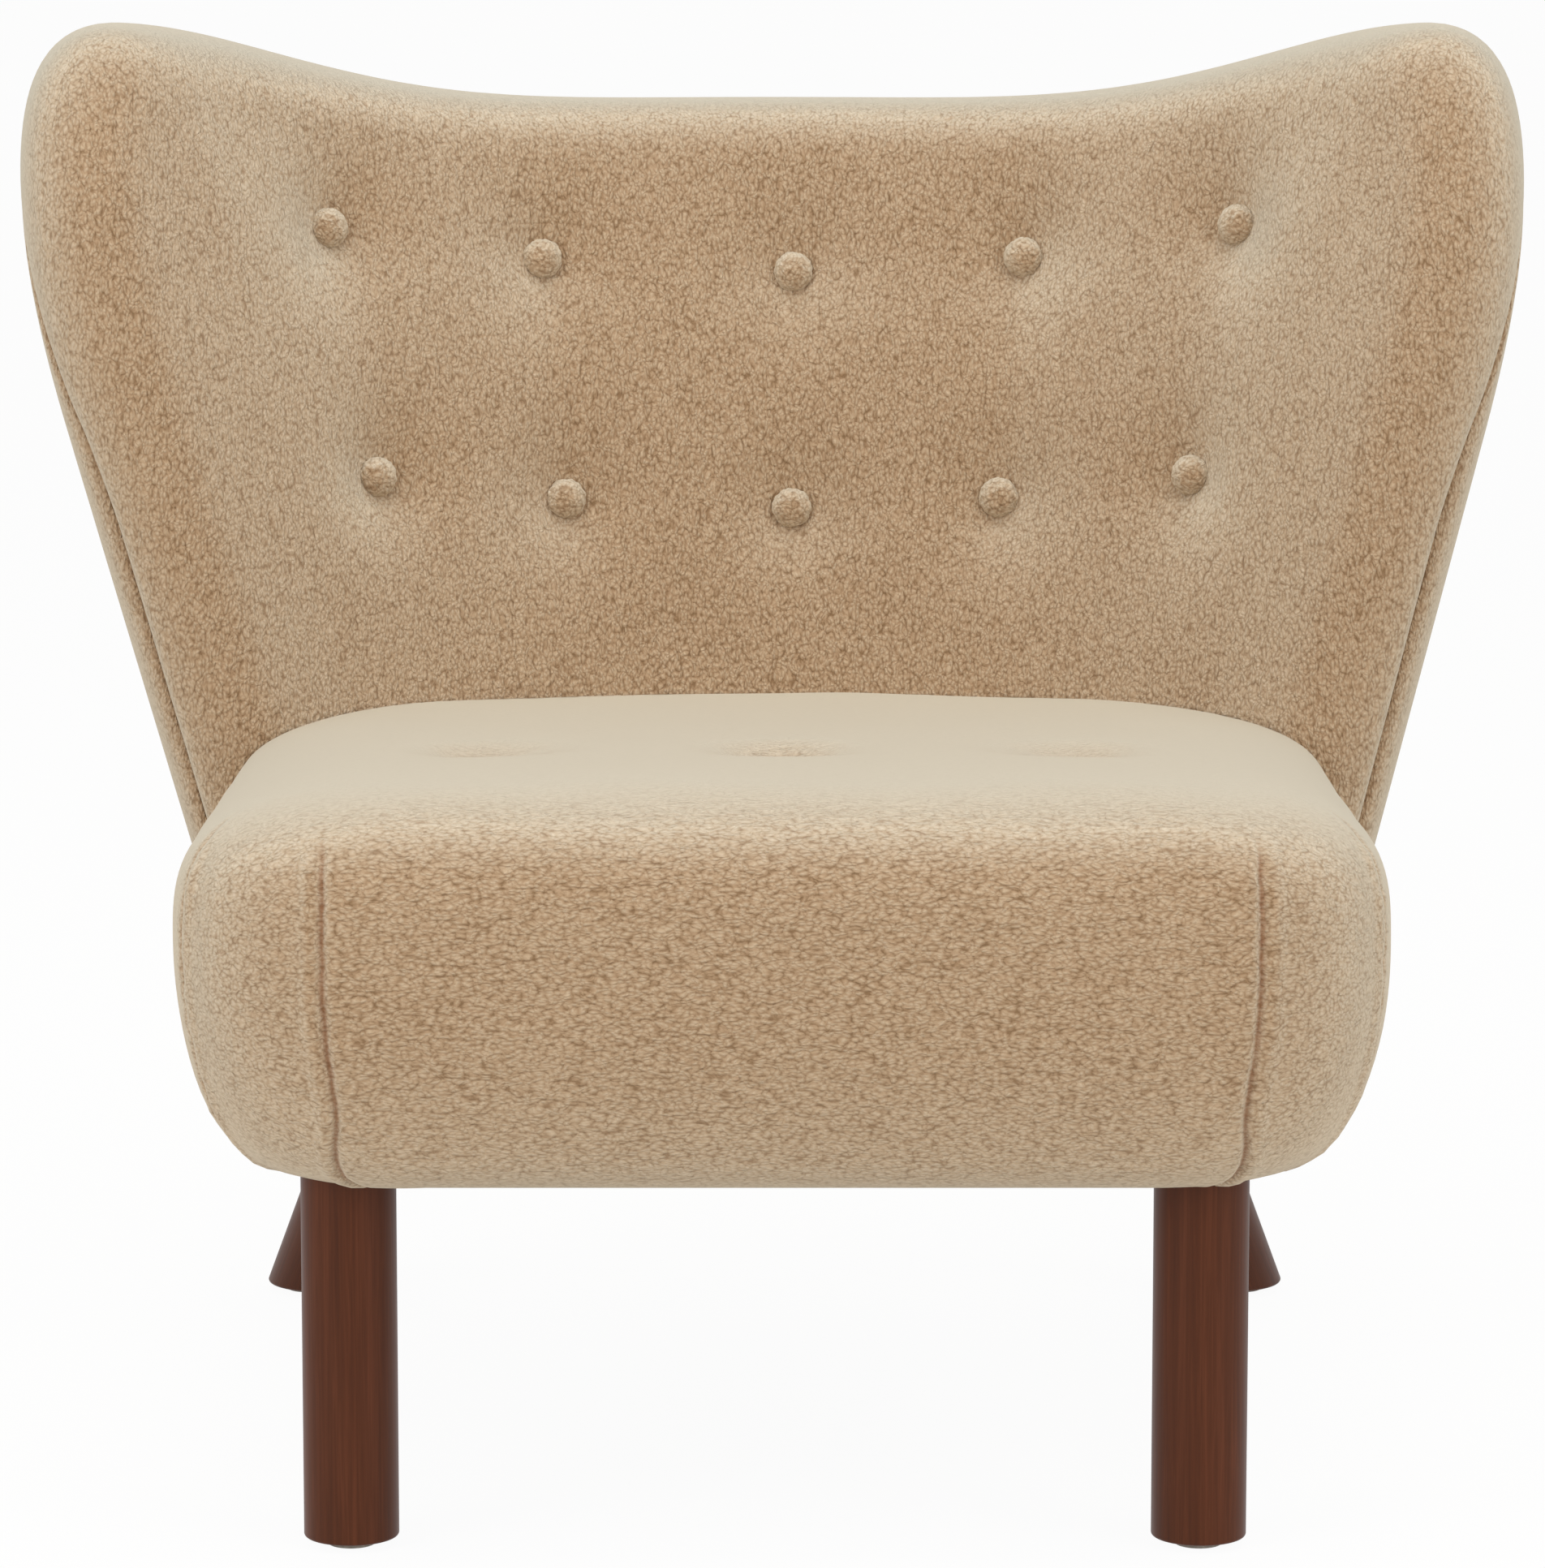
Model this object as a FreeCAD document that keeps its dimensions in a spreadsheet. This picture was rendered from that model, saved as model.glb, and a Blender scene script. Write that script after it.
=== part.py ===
import FreeCAD, Part
import math
import os
from FreeCAD import Placement, Rotation, Vector

# Low wingback lounge chair, millimetres. Front is -Y, up is +Z, the floor is z = 0.
doc = FreeCAD.newDocument("lounge_chair")
sheet = doc.addObject("Spreadsheet::Sheet", "sizes")

SIZES = {
    # fits and fabric
    "fit_gap": 0.3,
    "cover_thickness": 6,
    # legs and feet
    "leg_diameter": 45,
    "leg_edge_round": 1.5,
    "leg_clearance": 1,
    "glide_diameter": 22,
    "glide_height": 4,
    "nail_diameter": 2.4,
    "nail_length": 18,
    "front_leg_side_inset": 86.5,
    "front_leg_setback": 77,
    "rear_foot_from_back": 98,
    "rear_foot_spread": 57,
    "rear_leg_splay": 0.365,
    "rear_leg_rake": 0.54,
    # leg bolts
    "bolt_diameter": 8,
    "bolt_in_leg": 40,
    "bolt_in_block": 46,
    "tee_flange_diameter": 21,
    "tee_barrel_diameter": 10.5,
    "tee_barrel_length": 12,
    "tee_flange_thickness": 1.6,
    # base and seat frame
    "base_underside": 188,
    "base_thickness": 15,
    "base_side_inset": 52,
    "base_front_inset": 37,
    "base_back_inset": 127,
    "base_back_radius": 440,
    "base_rim": 62,
    "base_corner_radius": 60,
    "cover_turn_under": 26,
    "rail_thickness": 22,
    "rail_height": 54,
    "rear_rail_from_back": 285,
    "block_size": 58,
    "rear_block_length": 96,
    "block_height": 42,
    "webbing_width": 50,
    "webbing_thickness": 2,
    "webbing_pitch": 76,
    "cross_webbing_pitch": 92,
    "webbing_end_margin": 4,
    "felt_thickness": 4,
    "dust_cover_thickness": 1.6,
    "dust_cover_inset": 28,
    # seat
    "overall_depth": 710,
    "seat_width": 574,
    "seat_lower_edge": 181,
    "seat_wide_height": 285,
    "seat_upper_edge": 357,
    "seat_tilt": 3.1,
    "seat_corner_radius": 85,
    "seat_least_corner": 22,
    "seat_rear_corner": 150,
    "seat_rear_corner_draw": 40,
    "seat_rear_tuck": 35,
    "seat_lower_draw": 45,
    "seat_upper_draw": 175,
    "gusset_angle": 60,
    "gusset_top": 338,
    "seat_foam_margin": 24,
    "seat_foam_thickness": 48,
    "seat_foam_back_inset": 195,
    "seat_foam_back_radius": 300,
    "tuft_pitch": 139,
    "tuft_setback": 240,
    # back
    "wing_overhang": 58,
    "back_middle_height": 450,
    "back_flare": 0.283,
    "back_recline": 15,
    "back_plan_radius": 400,
    "wing_angle": 45,
    "back_thickness": 80,
    "back_pad_crown": 5,
    "back_lower_edge": 184,
    "back_lower_round": 12,
    "back_centre_height": 651,
    "ear_height": 699,
    "ear_share": 0.82,
    "ear_side_height": 498,
    "wing_foot_rise": 66,
    # back frame
    "liner_thickness": 3,
    "liner_lift": 2,
    "frame_thickness": 24,
    "edge_roll": 24,
    "back_foam_thickness": 22,
    "rib_thickness": 15,
    "middle_rib_height": 508,
    "top_rib_height": 607,
    "post_width": 40,
    "inner_post_share": 0.19,
    "outer_post_share": 0.52,
    "wing_post_share": 0.84,
    # buttons
    "button_diameter": 20,
    "button_dome": 8,
    "button_seat_radius": 12,
    "button_upper_row": 563,
    "button_lower_row": 444,
    "button_row_radius": 860,
    "button_share_inner": 0.37,
    "button_share_outer": 0.68,
    "button_share_shift": 0.012,
    "button_middle_shift": 0.017,
    "dimple_depth": 17,
    "dimple_radius": 58,
    "tuft_depth": 20,
    "tuft_radius": 62,
    "twine_diameter": 2.2,
    "washer_diameter": 18,
    "washer_thickness": 1.5,
    "toggle_diameter": 7,
    "toggle_length": 30,
    # screws
    "screw_diameter": 5,
    "screw_head_diameter": 9.5,
    "rail_screw_length": 45,
    "rib_screw_length": 26,
    "rib_screw_offset": 4,
    "rail_screw_setback": 70,
}

for row, (alias, value) in enumerate(SIZES.items(), 1):
    sheet.set("A%d" % row, alias)
    sheet.set("B%d" % row, str(value))
    sheet.setAlias("B%d" % row, alias)
doc.recompute()


class Sizes:
    def __getattr__(self, alias):
        return float(sheet.get(alias))


S = Sizes()
SIDES = (("left", -1), ("right", 1))
subparts = []


# Formulas that several pieces share, as text for the sheet bindings.
SPAN = "(4 * sizes.overall_depth)"
HALF_SPAN = "(-2 * sizes.overall_depth)"
BASE_HALF = "(sizes.seat_width / 2 - sizes.base_side_inset)"
BASE_FRONT = "(sizes.base_front_inset - sizes.overall_depth / 2)"
BASE_BACK = "(sizes.overall_depth / 2 - sizes.base_back_inset)"
BASE_TOP = "(sizes.base_underside + sizes.base_thickness)"
RAIL_BACK = "(sizes.overall_depth / 2 - sizes.rear_rail_from_back)"
RAIL_INNER = "(%s - sizes.rail_thickness)" % BASE_HALF
RAIL_TOP = "(%s + sizes.rail_height)" % BASE_TOP
WEB_STEP = "(sizes.webbing_thickness + sizes.fit_gap)"

# The same places as numbers, for the shaped pieces.
half_depth = S.overall_depth / 2
span = 4 * S.overall_depth
base_half = S.seat_width / 2 - S.base_side_inset
base_front = S.base_front_inset - half_depth
base_top = S.base_underside + S.base_thickness
rail_back = half_depth - S.rear_rail_from_back
rail_inner = base_half - S.rail_thickness
rail_top = base_top + S.rail_height
felt_top = rail_top + S.webbing_thickness + S.felt_thickness + 2 * S.fit_gap
leg_radius = S.leg_diameter / 2


def keep(obj, label):
    obj.Label = label
    subparts.append(obj)
    return obj


def bind(obj, **formulas):
    for prop, formula in formulas.items():
        obj.setExpression(prop.replace("_at_", "Placement.Base."), formula)
    return obj


def box(name, length, width, height, x, y, z):
    obj = doc.addObject("Part::Box", name)
    return bind(obj, Length=length, Width=width, Height=height, _at_x=x, _at_y=y, _at_z=z)


def cylinder(name, radius, height, placement=None):
    obj = doc.addObject("Part::Cylinder", name)
    bind(obj, Radius=radius, Height=height)
    if placement:
        obj.Placement = placement
    return obj


def cut(name, base, tool):
    obj = doc.addObject("Part::Cut", name)
    obj.Base = base
    obj.Tool = tool
    return obj


def common(name, base, tool):
    obj = doc.addObject("Part::Common", name)
    obj.Base = base
    obj.Tool = tool
    return obj


def joined(name, shapes):
    obj = doc.addObject("Part::MultiFuse", name)
    obj.Shapes = shapes
    return obj


def group(label, links):
    obj = doc.addObject("Part::Compound", label)
    obj.Links = links
    return keep(obj, label)


def shaped(label, shape):
    obj = doc.addObject("Part::Feature", label)
    obj.Shape = shape
    return obj


def rounded(name, base, radius, choose):
    doc.recompute()
    obj = doc.addObject("Part::Fillet", name)
    obj.Base = base
    picked = [i for i, e in enumerate(base.Shape.Edges, 1) if choose(e)]
    obj.Edges = [(i, radius, radius) for i in picked]
    return obj


def along(origin, direction):
    return Placement(origin, Rotation(Vector(0, 0, 1), direction))


def arc(a, b, c):
    return Part.Arc(a, b, c).toShape()


def line(a, b):
    return Part.makeLine(a, b)


def main_solid(shape):
    return max(shape.Solids, key=lambda s: s.Volume)


# Leg axes: the foot at the floor and the way up the leg.
def leg_axis(place, side):
    if place == "front":
        x = S.seat_width / 2 - S.front_leg_side_inset
        return Vector(side * x, S.front_leg_setback - half_depth, 0), Vector(0, 0, 1)
    x = S.seat_width / 2 - S.front_leg_side_inset + S.rear_foot_spread
    foot = Vector(side * x, half_depth - S.rear_foot_from_back, 0)
    return foot, Vector(-side * S.rear_leg_splay, -S.rear_leg_rake, 1)


def leg_top(place, side):
    foot, way = leg_axis(place, side)
    return foot + way * S.base_underside


LEGS = [(place, name, side) for place in ("front", "rear") for name, side in SIDES]


# Legs, glides, hanger bolts and tee nuts.
def make_leg(place, name, side):
    tag = "%s_%s" % (place, name)
    foot, way = leg_axis(place, side)
    stock = cylinder("leg_stock_" + tag, "sizes.leg_diameter / 2", "sizes.base_underside * 3",
                     along(foot - way * S.base_underside, way))
    slab = box("leg_slab_" + tag, SPAN, SPAN, "sizes.base_underside - sizes.glide_height",
               HALF_SPAN, HALF_SPAN, "sizes.glide_height")
    body = common("leg_body_" + tag, stock, slab)
    foot_round = rounded("leg_round_" + tag, body, S.leg_edge_round,
                         lambda e: len(e.Vertexes) == 1 and e.CenterOfMass.z < S.glide_height + 1)
    bore = cylinder("leg_bore_" + tag, "sizes.bolt_diameter / 2 + sizes.fit_gap / 3",
                    "sizes.bolt_in_leg * 2",
                    along(leg_top(place, side) - way.normalize() * S.bolt_in_leg, way))
    bored = cut("leg_bored_" + tag, foot_round, bore)
    pilot = cylinder("leg_pilot_" + tag, "sizes.nail_diameter / 2 + sizes.fit_gap / 3",
                     "sizes.nail_length + sizes.glide_height",
                     Placement(foot, Rotation()))
    return keep(cut("leg_" + tag, bored, pilot), "leg_" + tag)


def make_glide(place, name, side):
    tag = "%s_%s" % (place, name)
    foot, way = leg_axis(place, side)
    pad = cylinder("glide_pad_" + tag, "sizes.glide_diameter / 2", "sizes.glide_height",
                   Placement(foot, Rotation()))
    nail = cylinder("glide_nail_" + tag, "sizes.nail_diameter / 2", "sizes.nail_length",
                    Placement(foot + Vector(0, 0, S.glide_height / 2), Rotation()))
    return keep(joined("glide_" + tag, [pad, nail]), "glide_" + tag)


def make_bolt(place, name, side):
    way = leg_axis(place, side)[1].normalize()
    start = leg_top(place, side) - way * (S.bolt_in_leg - 2)
    return cylinder("bolt_%s_%s" % (place, name), "sizes.bolt_diameter / 2",
                    "sizes.bolt_in_leg + sizes.bolt_in_block", along(start, way))


def nut_seat(place, side):
    way = leg_axis(place, side)[1].normalize()
    return leg_top(place, side) + way * S.bolt_in_block, way


def make_tee_nut(place, name, side):
    tag = "%s_%s" % (place, name)
    seat, way = nut_seat(place, side)
    flange = cylinder("tee_flange_" + tag, "sizes.tee_flange_diameter / 2",
                      "sizes.tee_flange_thickness", along(seat, way))
    barrel = cylinder("tee_barrel_" + tag, "sizes.tee_barrel_diameter / 2", "sizes.tee_barrel_length",
                      along(seat - way * S.tee_barrel_length, way))
    whole = joined("tee_whole_" + tag, [flange, barrel])
    thread = cylinder("tee_thread_" + tag, "sizes.bolt_diameter / 2 + sizes.fit_gap / 3",
                      "sizes.tee_barrel_length * 3", along(seat - way * 2 * S.tee_barrel_length, way))
    return cut("tee_nut_" + tag, whole, thread)


def leg_bolt_space(place, name, side):
    tag = "%s_%s" % (place, name)
    seat, way = nut_seat(place, side)
    shank = cylinder("bolt_space_" + tag, "sizes.bolt_diameter / 2 + sizes.fit_gap",
                     "sizes.bolt_in_block * 3", along(seat - way * 2 * S.bolt_in_block, way))
    barrel = cylinder("barrel_space_" + tag, "sizes.tee_barrel_diameter / 2 + sizes.fit_gap",
                      "sizes.tee_barrel_length * 3", along(seat - way * S.tee_barrel_length, way))
    flange = cylinder("flange_space_" + tag, "sizes.tee_flange_diameter / 2 + sizes.fit_gap",
                      "sizes.block_height", along(seat, way))
    return joined("bolt_hole_" + tag, [shank, barrel, flange])


for leg in LEGS:
    make_leg(*leg)
for leg in LEGS:
    make_glide(*leg)
group("leg_hanger_bolts", [make_bolt(*leg) for leg in LEGS])
group("leg_tee_nuts", [make_tee_nut(*leg) for leg in LEGS])
bolt_holes = {leg[:2]: leg_bolt_space(*leg) for leg in LEGS}


# The back is a fan of straight lines leaning off a plan curve: an arc with straight wings.
tan_recline = math.tan(math.radians(S.back_recline))
wing_turn = math.radians(S.wing_angle)
half_thickness = S.back_thickness / 2
wing_reach = S.seat_width / 2 + S.wing_overhang
edge_run = wing_reach / math.cos(wing_turn)
crest = S.back_centre_height - half_thickness * math.cos(math.radians(S.back_recline))
middle_y = half_depth - half_thickness - tan_recline * (crest - S.back_middle_height)


def fan(share):
    side = 1 if share >= 0 else -1
    x = abs(share) * wing_reach
    bend = S.back_plan_radius * math.sin(wing_turn)
    if x < bend:
        turn = math.asin(x / S.back_plan_radius)
        sag = S.back_plan_radius * (1 - math.cos(turn))
    else:
        turn = wing_turn
        sag = S.back_plan_radius * (1 - math.cos(turn)) + (x - bend) * math.tan(turn)
    spread = S.back_flare * abs(share)
    base = Vector(side * x, middle_y - sag, S.back_middle_height)
    way = Vector(side * spread, tan_recline - spread * math.tan(turn), 1)
    out = Vector(side * math.sin(turn), math.cos(turn), -tan_recline * math.cos(turn))
    return base, way, out.normalize()


def on_back(share, height, depth):
    base, way, out = fan(share)
    return base + way * (height - S.back_middle_height) + out * depth


def top_outline(share):
    share = abs(share)
    if share < S.ear_share:
        part = (share / S.ear_share) ** 2.1
        rise = part * part * (3 - 2 * part)
        return S.back_centre_height + (S.ear_height - S.back_centre_height) * rise
    part = min(1, (share - S.ear_share) / (1 - S.ear_share))
    drop = math.sqrt(1 - part * part)
    return S.ear_side_height + (S.ear_height - S.ear_side_height) * drop


def lower_outline(share):
    part = max(0, (abs(share) - 0.8) / 0.2)
    return S.back_lower_edge + S.wing_foot_rise * (1 - math.sqrt(max(0, 1 - part * part)))


def edge_round(share, radius):
    run = max(1.2, (1 - abs(share)) * edge_run)
    return 1 if run >= radius else math.sqrt(1 - (1 - run / radius) ** 2)


def top_slope(share):
    step = 0.004
    drop = top_outline(abs(share) - step) - top_outline(min(1, abs(share) + step))
    return drop / (2 * step * edge_run)


def both_sides(shares):
    return [-s for s in reversed(shares)] + [0] + list(shares)


SHARES = both_sides((0.25, 0.5, 0.7, 0.82, 0.9, 0.95, 0.985, 1))
SHEET_SHARES = both_sides((0.15, 0.3, 0.45, 0.6, 0.72, 0.82, 0.9, 0.95, 0.985, 1))


# One half of the padded back, from a plane inside it to its rounded front or rear face.
def half_section(share, inset, face, plane, crown):
    place = share * (1 - inset / edge_run)
    turn = 1 if face > 0 else -1
    unit = 1 / fan(place)[1].Length
    fullness = edge_round(share, half_thickness - inset)
    depth = abs(face) * fullness
    level = turn * plane
    top = top_outline(share) - inset
    low = lower_outline(share) + inset
    run = depth - level
    reach = run * math.sqrt(1 + top_slope(share) ** 2)
    cap = max(run, min(reach, 0.42 * (top - low)))
    radius = (cap * cap + run * run) / (2 * run)
    half_turn = math.asin(min(1, cap / radius)) / 2
    foot = min(S.back_lower_round, 0.6 * depth)

    def at(height, deep):
        return on_back(place, height, turn * deep)

    start = top - cap * unit
    rise = at(top, level)
    mid_cap = at(start + radius * math.sin(half_turn) * unit, depth - radius * (1 - math.cos(half_turn)))
    shoulder = at(start, depth)
    belly = at((start + low + foot * unit) / 2, depth + crown * fullness)
    heel = at(low + foot * unit, depth)
    mid_heel = at(low + 0.293 * foot * unit, depth - 0.293 * foot)
    sole = at(low, depth - foot)
    flat_low = at(low, level)
    face_edge = arc(shoulder, belly, heel) if crown else line(shoulder, heel)
    edges = [arc(rise, mid_cap, shoulder), face_edge, arc(heel, mid_heel, sole),
             line(sole, flat_low), line(flat_low, rise)]
    return Part.Wire(edges)


def half_back(inset, face, plane, crown=0):
    order = SHARES if face > 0 else SHARES[::-1]
    wires = [half_section(s, inset, face, plane, crown) for s in order]
    return Part.makeLoft(wires, True, False, False, 3)


# A plain sheet or block between two depths of the back, with straight edges.
def sheet_section(share, inset, front, rear, low, top, drop, rounded_edge):
    place = share * (1 - inset / edge_run)
    fullness = edge_round(share, half_thickness - inset) if rounded_edge else 1
    lift = base_top - S.back_lower_edge + inset - S.edge_roll
    low = lower_outline(share) + lift - drop if low is None else low
    top = top_outline(share) - inset if top is None else top
    corners = [on_back(place, low, front * fullness), on_back(place, top, front * fullness),
               on_back(place, top, rear * fullness), on_back(place, low, rear * fullness)]
    return Part.makePolygon(corners + corners[:1])


def back_sheet(inset, front, rear, low=None, top=None, drop=0, rounded_edge=False):
    shares = SHARES if rounded_edge else SHEET_SHARES
    wires = [sheet_section(s, inset, front, rear, low, top, drop, rounded_edge) for s in shares]
    return Part.makeLoft(wires, True, not rounded_edge, False, 3)


# Tufts: a button in a funnel that the twine draws into the padding.
def funnel(origin, outward, depth, radius):
    lift = 0.12 * radius
    seat = S.button_seat_radius
    rim = Vector(radius, 0, lift)
    floor = Vector(seat, 0, -depth)
    chord = rim - floor
    bulge = Vector(-chord.z, 0, chord.x).normalize() * (0.09 * chord.Length)
    top = Vector(radius, 0, lift + 3 * depth)
    hole = S.twine_diameter / 2 + S.fit_gap
    reach = depth + S.back_thickness / 2
    points = [Vector(0, 0, -reach), Vector(hole, 0, -reach), Vector(hole, 0, -depth), floor]
    edges = [line(a, b) for a, b in zip(points, points[1:])]
    edges += [arc(floor, (rim + floor) * 0.5 + bulge, rim), line(rim, top),
              line(top, Vector(0, 0, top.z)), line(Vector(0, 0, top.z), points[0])]
    solid = Part.Face(Part.Wire(edges)).revolve(Vector(), Vector(0, 0, 1), 360)
    solid.Placement = along(origin, outward)
    return solid


def button(origin, outward):
    radius = S.button_diameter / 2
    edge = S.button_dome * 0.25
    rise = S.button_dome - edge
    ball = (radius * radius + rise * rise) / (2 * rise)
    half_turn = math.asin(min(1, radius / ball)) / 2
    rim = Vector(radius, 0, edge)
    peak = Vector(0, 0, S.button_dome)
    mid = Vector(ball * math.sin(half_turn), 0, S.button_dome - ball * (1 - math.cos(half_turn)))
    edges = [line(Vector(), Vector(radius, 0, 0)), line(Vector(radius, 0, 0), rim),
             arc(rim, mid, peak), line(peak, Vector())]
    solid = Part.Face(Part.Wire(edges)).revolve(Vector(), Vector(0, 0, 1), 360)
    solid.Placement = along(origin, outward)
    return solid


def rod(radius, start, end):
    return Part.makeCylinder(radius, (end - start).Length, start, end - start)


def button_places():
    places = []
    for row in (S.button_upper_row, S.button_lower_row):
        for share in (-S.button_share_outer, -S.button_share_inner, 0,
                      S.button_share_inner, S.button_share_outer):
            shift = S.button_share_shift + (0 if share else S.button_middle_shift)
            x = (share + shift) * wing_reach
            places.append((share + shift, row + x * x / (2 * S.button_row_radius)))
    return places


BUTTONS = button_places()
front_face = -half_thickness - S.back_pad_crown * 0.8


def back_funnels(drop):
    tools = []
    for share, height in BUTTONS:
        out = fan(share)[2]
        tools.append(funnel(on_back(share, height, front_face + drop), -out,
                            S.dimple_depth, S.dimple_radius))
    return tools


def back_rods(radius, start, end):
    return [rod(radius, on_back(s, h, start), on_back(s, h, end)) for s, h in BUTTONS]


# Volumes that the frame takes out of the padding.
def front_uprights(shape, front):
    upright = [e for e in shape.Edges if len(e.Vertexes) == 2 and e.CenterOfMass.y < front + 0.1]
    return [e for e in upright if abs(e.Vertexes[0].Z - e.Vertexes[1].Z) > S.fit_gap]


def base_blank(grow, low, high):
    side = base_half + grow
    front = base_front - grow
    back = half_depth - S.base_back_inset + grow
    radius = S.base_back_radius + grow
    slab = Part.makeBox(2 * side, back - front, high - low, Vector(-side, front, low))
    disc = Part.makeCylinder(radius, high - low, Vector(0, back - radius, low))
    front_half = Part.makeBox(2 * side, -front, high - low, Vector(-side, front, low))
    plan = slab.common(disc.fuse(front_half)).removeSplitter()
    return plan.makeFillet(S.base_corner_radius + grow, front_uprights(plan, front))


def rail_block(grow, high):
    side = base_half + grow
    front = base_front - grow
    length = rail_back + grow - front
    return Part.makeBox(2 * side, length, high - base_top, Vector(-side, front, base_top))


def rear_block_room(grow):
    width = S.block_size + 2 * grow
    rooms = []
    for name, side in SIDES:
        x = side * (rail_inner - S.block_size / 2) - width / 2
        rooms.append(Part.makeBox(width, S.rear_block_length + grow, S.block_height + grow,
                                  Vector(x, rail_back, base_top)))
    return rooms


def leg_rooms(grow):
    rooms = []
    for place, name, side in LEGS:
        foot, way = leg_axis(place, side)
        top = leg_top(place, side)
        room = rod(leg_radius + grow, foot, top + way * S.base_thickness)
        high = S.base_underside + S.fit_gap
        rooms.append(room.common(Part.makeBox(span, span, high, Vector(-span / 2, -span / 2, 0))))
    return rooms


gap = S.fit_gap


def frame_space():
    space = base_blank(gap, S.base_underside - gap, base_top + gap)
    rest = [rail_block(gap, felt_top + gap)] + rear_block_room(gap) + leg_rooms(S.leg_clearance)
    for piece in rest:
        space = space.fuse(piece)
    return space.removeSplitter()


frame_room = frame_space()


# Padding and covers of the back: each cover carries bonded wadding in the edge roll.
liner_front = gap
liner_rear = gap + S.liner_thickness
frame_front = liner_rear + gap
frame_rear = frame_front + S.frame_thickness
skin = half_thickness - S.cover_thickness
twine_room = S.twine_diameter / 2 + gap
roll = S.edge_roll
crown = S.back_pad_crown
past = half_thickness / 4

inner_cover = half_back(0, -half_thickness, -gap / 2, crown).cut(back_funnels(0))
foam_room = back_sheet(roll, -S.back_foam_thickness - gap, past)
inner_cover = main_solid(inner_cover.cut([foam_room, frame_room]))
keep(shaped("back_inner_cover", inner_cover), "back_inner_cover")

foam = back_sheet(roll + gap, -S.back_foam_thickness, -gap)
foam = foam.cut([frame_room] + back_rods(twine_room, -half_thickness, past))
keep(shaped("back_foam", main_solid(foam)), "back_foam")

outer_form = half_back(0, half_thickness, gap / 2)
outer_room = back_sheet(roll, -past, skin)
outer_cover = outer_form.cut([outer_room, frame_room])
keep(shaped("back_outer_cover", main_solid(outer_cover)), "back_outer_cover")

rear_pad = back_sheet(roll + gap, frame_rear + gap, skin - gap, drop=-S.back_lower_round)
keep(shaped("back_rear_padding", main_solid(rear_pad)), "back_rear_padding")

frame_inset = roll + gap
liner = back_sheet(frame_inset, liner_front, liner_rear, drop=-S.liner_lift)
liner = liner.cut(rear_block_room(gap) + back_rods(twine_room, -past, frame_front))
keep(shaped("back_liner_board", main_solid(liner)), "back_liner_board")
zone = shaped("back_frame_zone", back_sheet(frame_inset, frame_front, frame_rear, drop=gap))


# Ribs and posts of the back, cut from the zone between the liner board and the rear padding.
def station_box(name, share, width, shift=0):
    base, way, out = fan(share)
    up = Vector(way).normalize()
    turn = Rotation(out.cross(up), out, up, "ZYX")
    obj = doc.addObject("Part::Box", name)
    bind(obj, Length=width, Width="sizes.back_thickness * 2", Height="sizes.ear_height * 2")
    doc.recompute([obj])
    corner = Vector(shift - obj.Length.Value / 2, -S.back_thickness, -S.ear_height)
    obj.Placement = Placement(base + turn.multVec(corner), turn)
    return obj


def level(name, low, high):
    return box(name, SPAN, SPAN, "%s - (%s)" % (high, low), HALF_SPAN, HALF_SPAN, low)


# The outer end of the zone on each side is the wing post; the ribs run between the two.
def wing_end(name, side):
    return station_box("wing_end_" + name, side * S.wing_post_share, "sizes.seat_width",
                       side * S.seat_width / 2)


wing_ends = {name: wing_end(name, side) for name, side in SIDES}
above_base = level("above_base", BASE_TOP, "sizes.ear_height")
for name, side in SIDES:
    end = common("wing_stock_" + name, zone, wing_ends[name])
    keep(common("wing_post_" + name, end, above_base), "wing_post_" + name)

RIBS = {
    "bottom": BASE_TOP,
    "middle": "sizes.middle_rib_height",
    "top": "sizes.top_rib_height",
}
back_ribs = {}
both_ends = joined("wing_ends", list(wing_ends.values()))
for name, low in RIBS.items():
    slab = level("rib_slab_" + name, low, "(%s + sizes.rib_thickness)" % low)
    band = common("rib_band_" + name, zone, slab)
    back_ribs[name] = cut("rib_" + name, band, both_ends)

POST_SHARES = (-S.outer_post_share, -S.inner_post_share, S.inner_post_share, S.outer_post_share)
TIERS = {
    "lower": ("(%s + sizes.rib_thickness)" % BASE_TOP, "sizes.middle_rib_height"),
    "upper": ("(sizes.middle_rib_height + sizes.rib_thickness)", "sizes.top_rib_height"),
}
for tier, (low, high) in TIERS.items():
    posts = []
    for number, share in enumerate(POST_SHARES, 1):
        tag = "%s_%d" % (tier, number)
        strip = common("post_strip_" + tag, zone, station_box("post_box_" + tag, share, "sizes.post_width"))
        posts.append(common("post_" + tag, strip, level("post_level_" + tag, low, high)))
    group("back_%s_posts" % tier, posts)


# Base board, rails, leg blocks.
def bound_blank(name, low, height, edge=None):
    inset = "sizes." + edge if edge else "0"
    margin = getattr(S, edge) if edge else 0
    side = "(%s - %s)" % (BASE_HALF, inset)
    front = "(%s + %s)" % (BASE_FRONT, inset)
    back = "(%s - %s)" % (BASE_BACK, inset)
    radius = "(sizes.base_back_radius - %s)" % inset
    slab = box(name + "_slab", "2 * " + side, "%s - %s" % (back, front), height, "-" + side, front, low)
    disc = cylinder(name + "_disc", radius, height)
    bind(disc, _at_y="%s - %s" % (back, radius), _at_z=low)
    ahead = box(name + "_ahead", "2 * " + side, "-" + front, height, "-" + side, front, low)
    square = common(name + "_square", slab, joined(name + "_plan", [disc, ahead]))
    return rounded(name + "_blank", square, S.base_corner_radius - margin,
                   lambda e: front_uprights(e, base_front + margin))


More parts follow.
